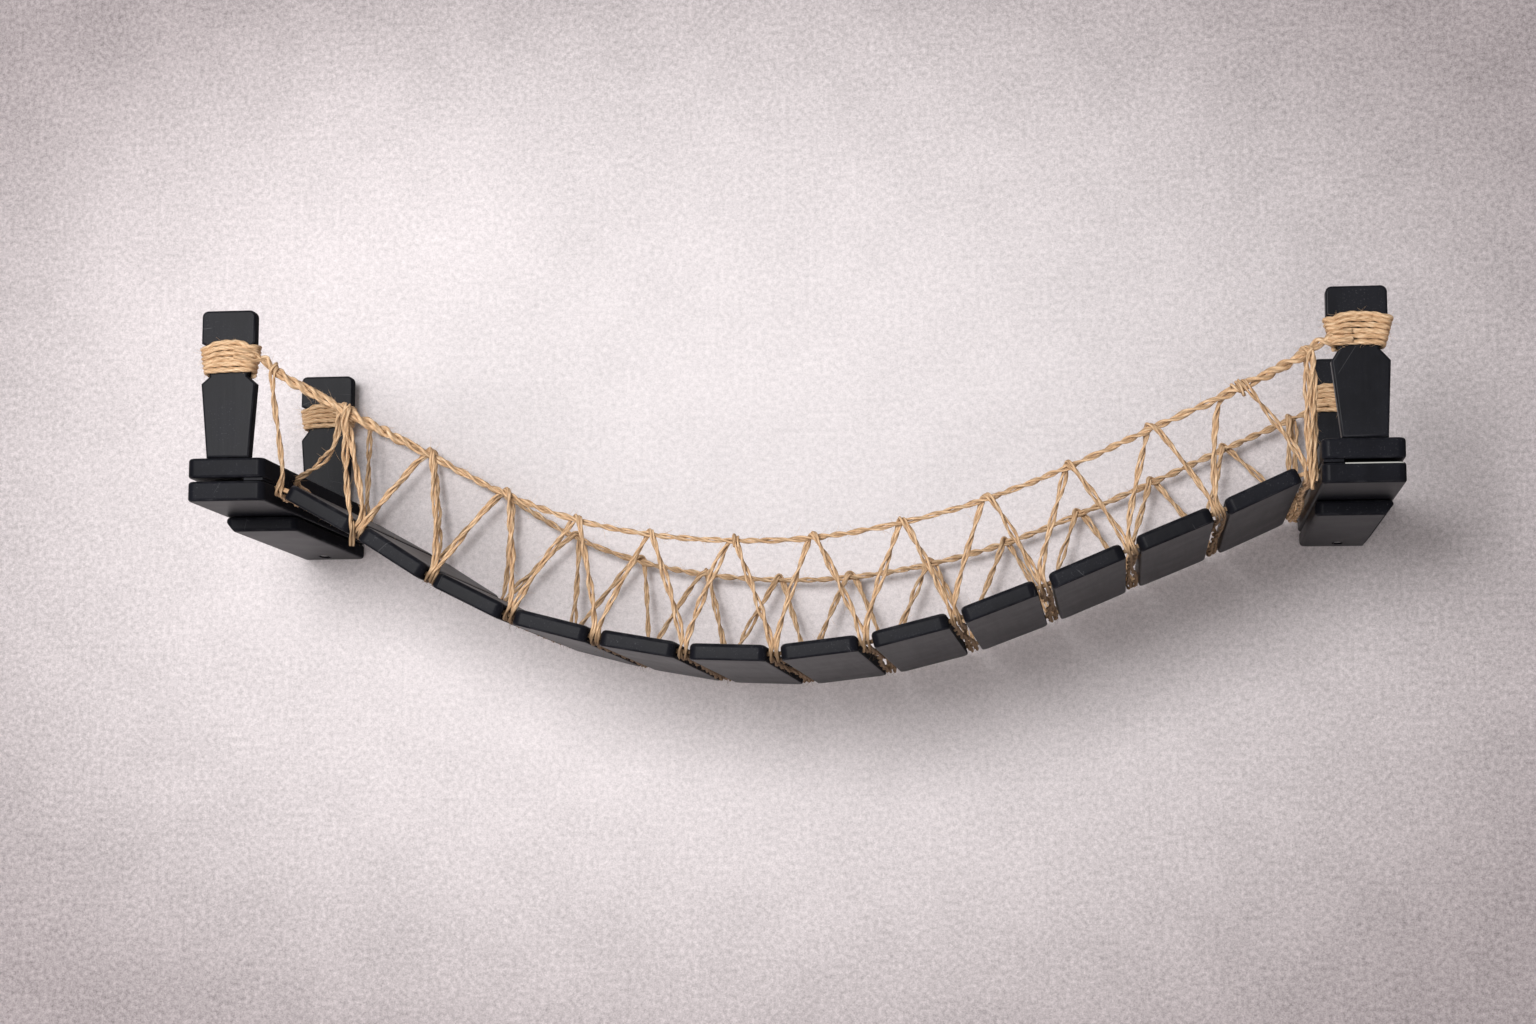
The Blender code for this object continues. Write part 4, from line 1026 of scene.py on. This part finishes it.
class DressFittings(bpy.types.Operator):
    """Zinc-plated brackets and screws, beech dowels and the painted spacers"""
    bl_idname = "bridge.fittings"
    bl_label = "Fittings"

    def execute(self, context):
        wood, _, colours = looks()
        zinc = zinc_steel("zinc_plated_steel", colours)
        beech = beech_wood("turned_beech", colours)
        grain = (14, 20, wood.grain_scale)
        paint = black_paint("spacer_paint", colours, grain, scuffs=0.1, flat_way="z")
        kinds = {"bracket": zinc, "screw": zinc, "dowel": beech, "spacer": paint}
        for name, node in NODES.items():
            for kind, material in kinds.items():
                if kind in name:
                    for slot in node.material_slots:
                        slot.material = material
        return {"FINISHED"}


class WindPosts(bpy.types.Operator):
    """Twine wound round the posts' necks"""
    bl_idname = "bridge.windings"
    bl_label = "Windings"

    def execute(self, context):
        _, twine, colours = looks()
        jute = jute_twine("winding_jute", colours)
        for number, ((side, row), place) in enumerate(POST_PLACES.items()):
            seed = WINDING_SEED + number
            line = self.route(side, row, number) + np.array((place.x, place.y, FOOT_LEVEL))
            line = even_line(line, twine.line_step)
            strands = [Strand(line, TWINE_RADIUS * WINDING_FULLNESS, plies=3, lay=0.024, sides=15)]
            strands += stray_fibres(strands, twine, count=320, seed=seed)
            finish_rope(f"{side}_{row}_winding", strands, jute, seed)
        return {"FINISHED"}

    def route(self, side, row, seed):
        """The helix, round corners and all, with a hand's unevenness."""
        inward = SIDES[side]
        turns = WINDING_TURNS[side, row]
        heights = POST_SHAPES[side, row][0]
        top = heights[2] - TWINE_RADIUS * WINDING_TOP_SHARE
        low = heights[1] + TWINE_RADIUS * WINDING_LOW_SHARE
        pitch = (top - low) / (turns - WINDING_SPARE_TURN)
        around = [(corner, flat, step / WINDING_STEPS)
                  for corner in range(4) for flat in (True, False) for step in range(WINDING_STEPS)]
        count = turns * len(around)
        y = POST_THICKNESS / 2 - POST_EDGE
        points = []
        for index in range(count + 1):
            height = top - index / len(around) * pitch
            wander = noise.noise((index * 0.11, seed * 5.3, 1.7))
            lift = noise.noise((index * 0.07, seed * 3.9, 8.1)) * WINDING_LIFT
            reach = TWINE_RADIUS + POST_EDGE + WINDING_SLACK * (1 + wander)
            ahead, behind = (half_width(side, row, way, height + TWINE_RADIUS) - POST_EDGE
                             for way in (inward, -inward))
            corners = ((ahead, y), (ahead, -y), (-behind, -y), (-behind, y))
            corner, flat, share = around[index % len(around)]
            start, end = corners[corner], corners[(corner + 1) % 4]
            turn = -QUARTER_TURN * corner
            if flat:
                across, out = (a + (b - a) * share for a, b in zip(start, end))
            else:
                across, out = end
                turn -= QUARTER_TURN * share
            upper = 1 - index / count
            bow = WINDING_BOW * (1 - (across / max(ahead, behind)) ** 4) * upper
            bulge = 1 + WINDING_BULGE * abs(math.cos(turn)) * upper
            points.append((inward * (across + reach * bulge * math.cos(turn)),
                           out + reach * math.sin(turn),
                           height + lift + bow))
        return np.array(points)


class StringHandrails(bpy.types.Operator):
    """Handrails of two thick strands, from winding to winding"""
    bl_idname = "bridge.handrails"
    bl_label = "Handrails"

    def execute(self, context):
        _, twine, colours = looks()
        jute = jute_twine("handrail_jute", colours)
        shares = (0, RAIL_END_SHARE, *KNOT_PLACE_SHARES, 1 - RAIL_END_SHARE, 1)
        for number, row in enumerate(ROWS):
            seed = RAIL_SEED + number
            line = smooth_line([rail_point(share, row) for share in shares], twine.line_step)
            share = arc_lengths(line) / arc_lengths(line)[-1]
            thick = np.interp(share, *RAIL_THICKNESS[row])
            strands = []
            laid = laid_lines(line, 2, RAIL_STRAND_REACH * thick, twine.rail_lay, number * 2.1, seed)
            for index, strand in enumerate(laid):
                strand = Strand(self.forked(strand, row, index, twine), RAIL_STRAND_RADIUS, **RAIL_STRAND)
                along = strand.places / strand.places[-1]
                strand.radius = strand.radius * np.interp(along, *RAIL_THICKNESS[row])
                strands.append(strand)
            if row == "front":
                end_share, reach, lay, radius, taper = THIRD_STRAND
                part = line[share < end_share]
                third = laid_lines(part, 1, reach, lay, phase=2.4, seed=THIRD_SEED)[0]
                strands.append(Strand(third, radius, taper=taper, **RAIL_STRAND))
            strands += stray_fibres(strands, twine, count=700, seed=seed)
            finish_rope(f"{row}_handrail", strands, jute, seed)
        return {"FINISHED"}

    def forked(self, strand, row, index, twine):
        """Carries a strand on at both ends, round the winding's corner and on to the post's face."""
        ends = []
        for side, point in zip(SIDES, (strand[0], strand[-1])):
            place, way = POST_PLACES[side, row], SIDES[side]
            level = point[2] + FORK_LIFTS[index]
            face = place.y + (-1, 1)[index if row == "back" else 0] * (POST_THICKNESS / 2 + FORK_STANDOFF)
            reach = half_width(side, row, way, level - FOOT_LEVEL)
            rise, before, beyond, fall = FORK_STEPS
            ends.append([(place.x + way * reach * FORK_END_SHARE, face, level + rise),
                         (place.x + way * (reach - before), face, level),
                         (place.x + way * (reach + beyond), (face + place.y) / 2, level - fall)])
        inner = strand[5:-5]
        return smooth_line([*ends[0], *inner[:-2:4], inner[-1], *reversed(ends[1])], twine.line_step)


class LaceSides(bpy.types.Operator):
    """Two twines laced over the handrails and through every gap"""
    bl_idname = "bridge.lacing"
    bl_label = "Lacing"

    def execute(self, context):
        _, twine, colours = looks()
        jute = jute_twine("lacing_jute", colours)
        for seed, (node, first_row) in enumerate(LACINGS.items(), LACING_SEED):
            line = smooth_line(self.route(first_row), twine.line_step)
            strands = loose_twine(line, twine, seed, twine.parting)
            for knot, shift in DOUBLED_LEGS[node]:
                extra = smooth_line(self.doubled(knot, shift), twine.line_step)
                strands += loose_twine(extra, twine, DOUBLED_SEED + knot, twine.parting)
            strands += stray_fibres(strands, twine, count=twine.hairs // 2, seed=seed)
            finish_rope(node, strands, jute, seed)
        return {"FINISHED"}

    def wrap(self, knot, row):
        """Up inside the handrail, over it and down outside, once or twice round."""
        share = KNOT_PLACE_SHARES[knot]
        here = rail_point(share, row)
        along = (rail_point(share + 0.005, row) - rail_point(share - 0.005, row)).normalized()
        up = Vector((-along.z, 0, along.x))
        out = Vector((0, ROWS[row], 0))
        thick = float(np.interp(share, *RAIL_THICKNESS[row]))
        reach = KNOT_REACH * thick + KNOT_CLEARANCE
        twice = (row, knot) in DOUBLE_KNOTS
        first, last, count = TWICE_ROUND if twice else ONCE_ROUND
        spread = KNOT_SPREADS[row][knot]
        points = []
        for index, angle in enumerate(np.radians(np.linspace(first, last, count))):
            share = index / (count - 1)
            if twice and index:
                share = 0.6 + 0.4 * share
            shift = (share - 0.5) * spread
            points.append(here - out * math.cos(angle) * reach + up * math.sin(angle) * reach
                          + along * shift)
        return points

    def doubled(self, knot, shift):
        """A second run beside the leg that leaves a front knot, down into the gap."""
        here = rail_point(KNOT_PLACE_SHARES[knot], "front")
        place, _ = GAP_LAYOUT[min(knot, len(GAP_LAYOUT) - 1)]
        start = here + Vector(DOUBLED_START)
        end = Vector((place.x + shift, CORD_ROWS["front"] - DOUBLED_OUT, place.z))
        sway = Vector((shift / 2, 0, 0))
        return [start + Vector(DOUBLED_LEAD), start, start.lerp(end, 0.3) + sway,
                start.lerp(end, 0.75) + sway, end, end - Vector((0, 0, DOUBLED_DROP))]

    def cross(self, place, tilt, start_row, lower):
        """Through a gap: down outside one deck cord, under both, and up outside the other."""
        along, up = deck_way(tilt), Vector((-math.sin(tilt), 0, math.cos(tilt)))
        out = Vector((0, ROWS[start_row], 0))
        beside = TWINE_RADIUS + SEAT
        clear = CORD_RADIUS + TWINE_RADIUS + 2 * SEAT
        enter, leave = (Vector((place.x, CORD_ROWS[row], place.z))
                        for row in (start_row, OTHER_ROW[start_row]))
        enter = enter - along * beside
        leave = leave + along * beside
        over = Vector((0, (leave - enter).y, 0)) * CROSSING_SHARE
        level = up * (-clear if lower else CROSSING_LIFT - clear)
        turns = [math.radians(angle) for angle in (0, 30, 60, 90)]
        down = [enter + (out * math.cos(turn) - up * math.sin(turn)) * clear for turn in turns]
        rise = [leave + (-out * math.cos(turn) - up * math.sin(turn)) * clear
                for turn in reversed(turns)]
        lead = up * GAP_LEAD
        return [enter + out * clear + lead, *down, enter + over + level, leave - over + level,
                *rise, leave - out * clear + lead]

    def route(self, first_row):
        row = first_row
        points = []
        for knot, (place, tilt) in enumerate(GAP_LAYOUT):
            points += self.wrap(knot, row)
            points += self.cross(place, tilt, row, first_row == "front")
            row = OTHER_ROW[row]
            if knot == 0 and row == "front":
                points = points[:-6] + [Vector(point) for point in SLACK_LEG]
        points += self.wrap(len(GAP_LAYOUT), row)
        place, tilt = GAP_LAYOUT[-1]
        end = Vector((place.x + 0.004, CORD_ROWS[row] + ROWS[row] * 0.005, place.z))
        return points + [end + Vector((0, 0, END_RISE)), end, end - Vector((0, 0, END_DROP))]


class ThreadDeckCords(bpy.types.Operator):
    """The two cords that the slats hang on"""
    bl_idname = "bridge.deck_cords"
    bl_label = "Deck cords"

    def execute(self, context):
        _, twine, colours = looks()
        jute = jute_twine("cord_jute", colours)
        start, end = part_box("left_lower_board")[1].x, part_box("right_lower_board")[0].x
        for seed, (row, y) in enumerate(CORD_ROWS.items(), CORD_SEED):
            points = [Vector((x, y, CORD_LEVEL)) for x in (start - CORD_TAIL, start)]
            for place, tilt in SLAT_LAYOUT:
                flat = Vector((place.x, y, place.z))
                points += [flat + deck_way(tilt) * SLAT_WIDTH * share
                           for share in (-0.5, -0.2, 0.2, 0.5)]
            points += [Vector((x, y, CORD_LEVEL)) for x in (end, end + CORD_TAIL)]
            line = smooth_line(points, twine.line_step)
            strands = [Strand(line, CORD_RADIUS, plies=3, lay=twine.twine_lay / 2, sides=12, swell=0.04)]
            finish_rope(f"{row}_deck_cord", strands, jute, seed)
        return {"FINISHED"}


class SetStudio(bpy.types.Operator):
    """The wall, the floor, the lights and the camera"""
    bl_idname = "bridge.studio"
    bl_label = "Studio"

    def execute(self, context):
        scene = context.scene
        studio = scene.bridge_studio
        _, _, colours = looks()
        self.flat("studio_wall", (0.4, 0.0006, 0.6), (QUARTER_TURN, 0, 0), (7, 3.6),
                  self.wall_material(colours))
        self.flat("studio_floor", (0.4, -2.2, -1.2), (0, 0, 0), (7, 4.4), self.floor_material(colours))
        for name, (place, aim, size) in LAMPS.items():
            self.lamp(f"{name}_softbox", place, aim, size, getattr(studio, f"{name}_power"))
        world = bpy.data.worlds.new("studio_air")
        scene.world = world
        world.use_nodes = True
        tree = world.node_tree
        seen = add_node(tree, "ShaderNodeLightPath")
        strength = seen * (studio.backdrop_level - studio.world_level) + studio.world_level
        back = tree.nodes["Background"]
        back.inputs["Color"].default_value = (*LAMP_COLOUR, 1)
        tree.links.new(strength.socket, back.inputs["Strength"])
        camera = bpy.data.cameras.new("bridge_camera")
        camera.lens = studio.lens
        camera.sensor_width = 36.0
        camera.clip_start = 0.05
        holder = new_object("bridge_camera", camera)
        holder.location = studio.camera_place
        holder.rotation_euler = studio.camera_turn
        scene.camera = holder
        scene.view_settings.view_transform = "Standard"
        return {"FINISHED"}

    def flat(self, name, place, turn, size, material):
        shape = bmesh.new()
        bmesh.ops.create_grid(shape, x_segments=1, y_segments=1, size=0.5,
                              matrix=Matrix.Diagonal((*size, 1, 1)))
        mesh = mesh_of(name, shape)
        mesh.materials.append(material)
        piece = new_object(name, mesh)
        piece.location = place
        piece.rotation_euler = turn

    def seen_from_front(self, tree, shader):
        """Lets the views from behind the wall or under the floor look through it."""
        behind = add_node(tree, "ShaderNodeNewGeometry", None, (), 6)
        clear = add_node(tree, "ShaderNodeBsdfTransparent")
        solid = Shade(tree, shader.outputs[0])
        mixed = add_node(tree, "ShaderNodeMixShader", None, (behind, solid, clear))
        output = next(node for node in tree.nodes if node.type == "OUTPUT_MATERIAL")
        tree.links.new(mixed.socket, output.inputs["Surface"])

    def wall_material(self, colours):
        """Plaster with painted light: lightest round its middle and in one painted patch, dimming towards
        its edges, with grain on every scale.
        """
        material, tree, shader = new_material("plaster_wall")
        place = object_place(tree)
        across, down = ((axis_of(place, axis) + shift) * scale for axis, shift, scale in WALL_PAINTED_FALLOFF)
        # Painted falloff of light towards the wall's edges
        far = (across * across + down * down).ramp(-0.48, 1.22)
        blotch = noise_at(place, 16, 5, 0.65)
        grit = noise_at(place, 260, 3, 0.7)
        dust = noise_at(place, 900, 2, 0.7)
        base = mix_colours(far, colours.wall_painted_bright, colours.wall_painted_dim)
        grain = (blotch - 0.5) * 0.35 + (grit - 0.5) * 1.3 + (dust - 0.5) * 0.9
        beside, above = ((axis_of(place, axis) + shift) / reach for axis, shift, reach in WALL_PAINTED_LIGHT_PATCH)
        # A painted pool of light
        painted_light_pool = (1 - beside * beside - above * above).ramp(0.0, 1.0)
        level = WALL_LEVEL + painted_light_pool * PAINTED_LIGHT_LIFT - grain * (0.26 + far * 0.80)
        base = add_node(tree, "ShaderNodeVectorMath", {"operation": "SCALE"}, {0: base, 3: level})
        feed(shader, Base_Color=base, Roughness=0.9, Specular_IOR_Level=0.1)
        bump(shader, grit * 0.5 + blotch, 0.25, 0.0015)
        self.seen_from_front(tree, shader)
        return material

    def floor_material(self, colours):
        material, tree, shader = new_material("studio_floor")
        dim = tuple(channel * 0.95 for channel in colours.floor)
        base = mix_colours(noise_at(object_place(tree), 3, 4), dim, colours.floor)
        feed(shader, Base_Color=base, Roughness=0.8)
        self.seen_from_front(tree, shader)
        return material

    def lamp(self, name, place, aim, size, power):
        light = bpy.data.lights.new(name, "AREA")
        light.shape = "DISK"
        light.size = size
        light.energy = power
        light.color = LAMP_COLOUR
        holder = new_object(name, light)
        holder.location = place
        holder.rotation_euler = (Vector(aim) - Vector(place)).to_track_quat("-Z", "Y").to_euler()


STEPS = (BuildPlatforms, BuildPosts, BuildSlats, DressFittings, WindPosts, StringHandrails,
         LaceSides, ThreadDeckCords, SetStudio)
GROUPS = {"bridge_wood": BridgeWood, "bridge_twine": BridgeTwine,
          "bridge_colours": BridgeColours, "bridge_studio": BridgeStudio}


class BridgePanel(bpy.types.Panel):
    """Lists the bridge's sizes and the steps that build it"""
    bl_idname = "VIEW3D_PT_bridge"
    bl_label = "Cat Wall Bridge"
    bl_space_type = "VIEW_3D"
    bl_region_type = "UI"
    bl_category = "Bridge"

    def draw(self, context):
        for name, group in GROUPS.items():
            box = self.layout.box()
            for key in group.__annotations__:
                box.prop(getattr(context.scene, name), key)
        for step in STEPS:
            self.layout.operator(step.bl_idname)


def register():
    for item in (*GROUPS.values(), *STEPS, BridgePanel):
        bpy.utils.register_class(item)
    for name, group in GROUPS.items():
        setattr(bpy.types.Scene, name, bpy.props.PointerProperty(type=group))


def unregister():
    for name in GROUPS:
        delattr(bpy.types.Scene, name)
    for item in reversed((*GROUPS.values(), *STEPS, BridgePanel)):
        bpy.utils.unregister_class(item)


def main():
    register()
    bpy.ops.bridge.platforms()
    bpy.ops.bridge.posts()
    bpy.ops.bridge.slats()
    bpy.ops.bridge.fittings()
    bpy.ops.bridge.windings()
    bpy.ops.bridge.handrails()
    bpy.ops.bridge.lacing()
    bpy.ops.bridge.deck_cords()
    bpy.ops.bridge.studio()


if __name__ == "__main__":
    main()
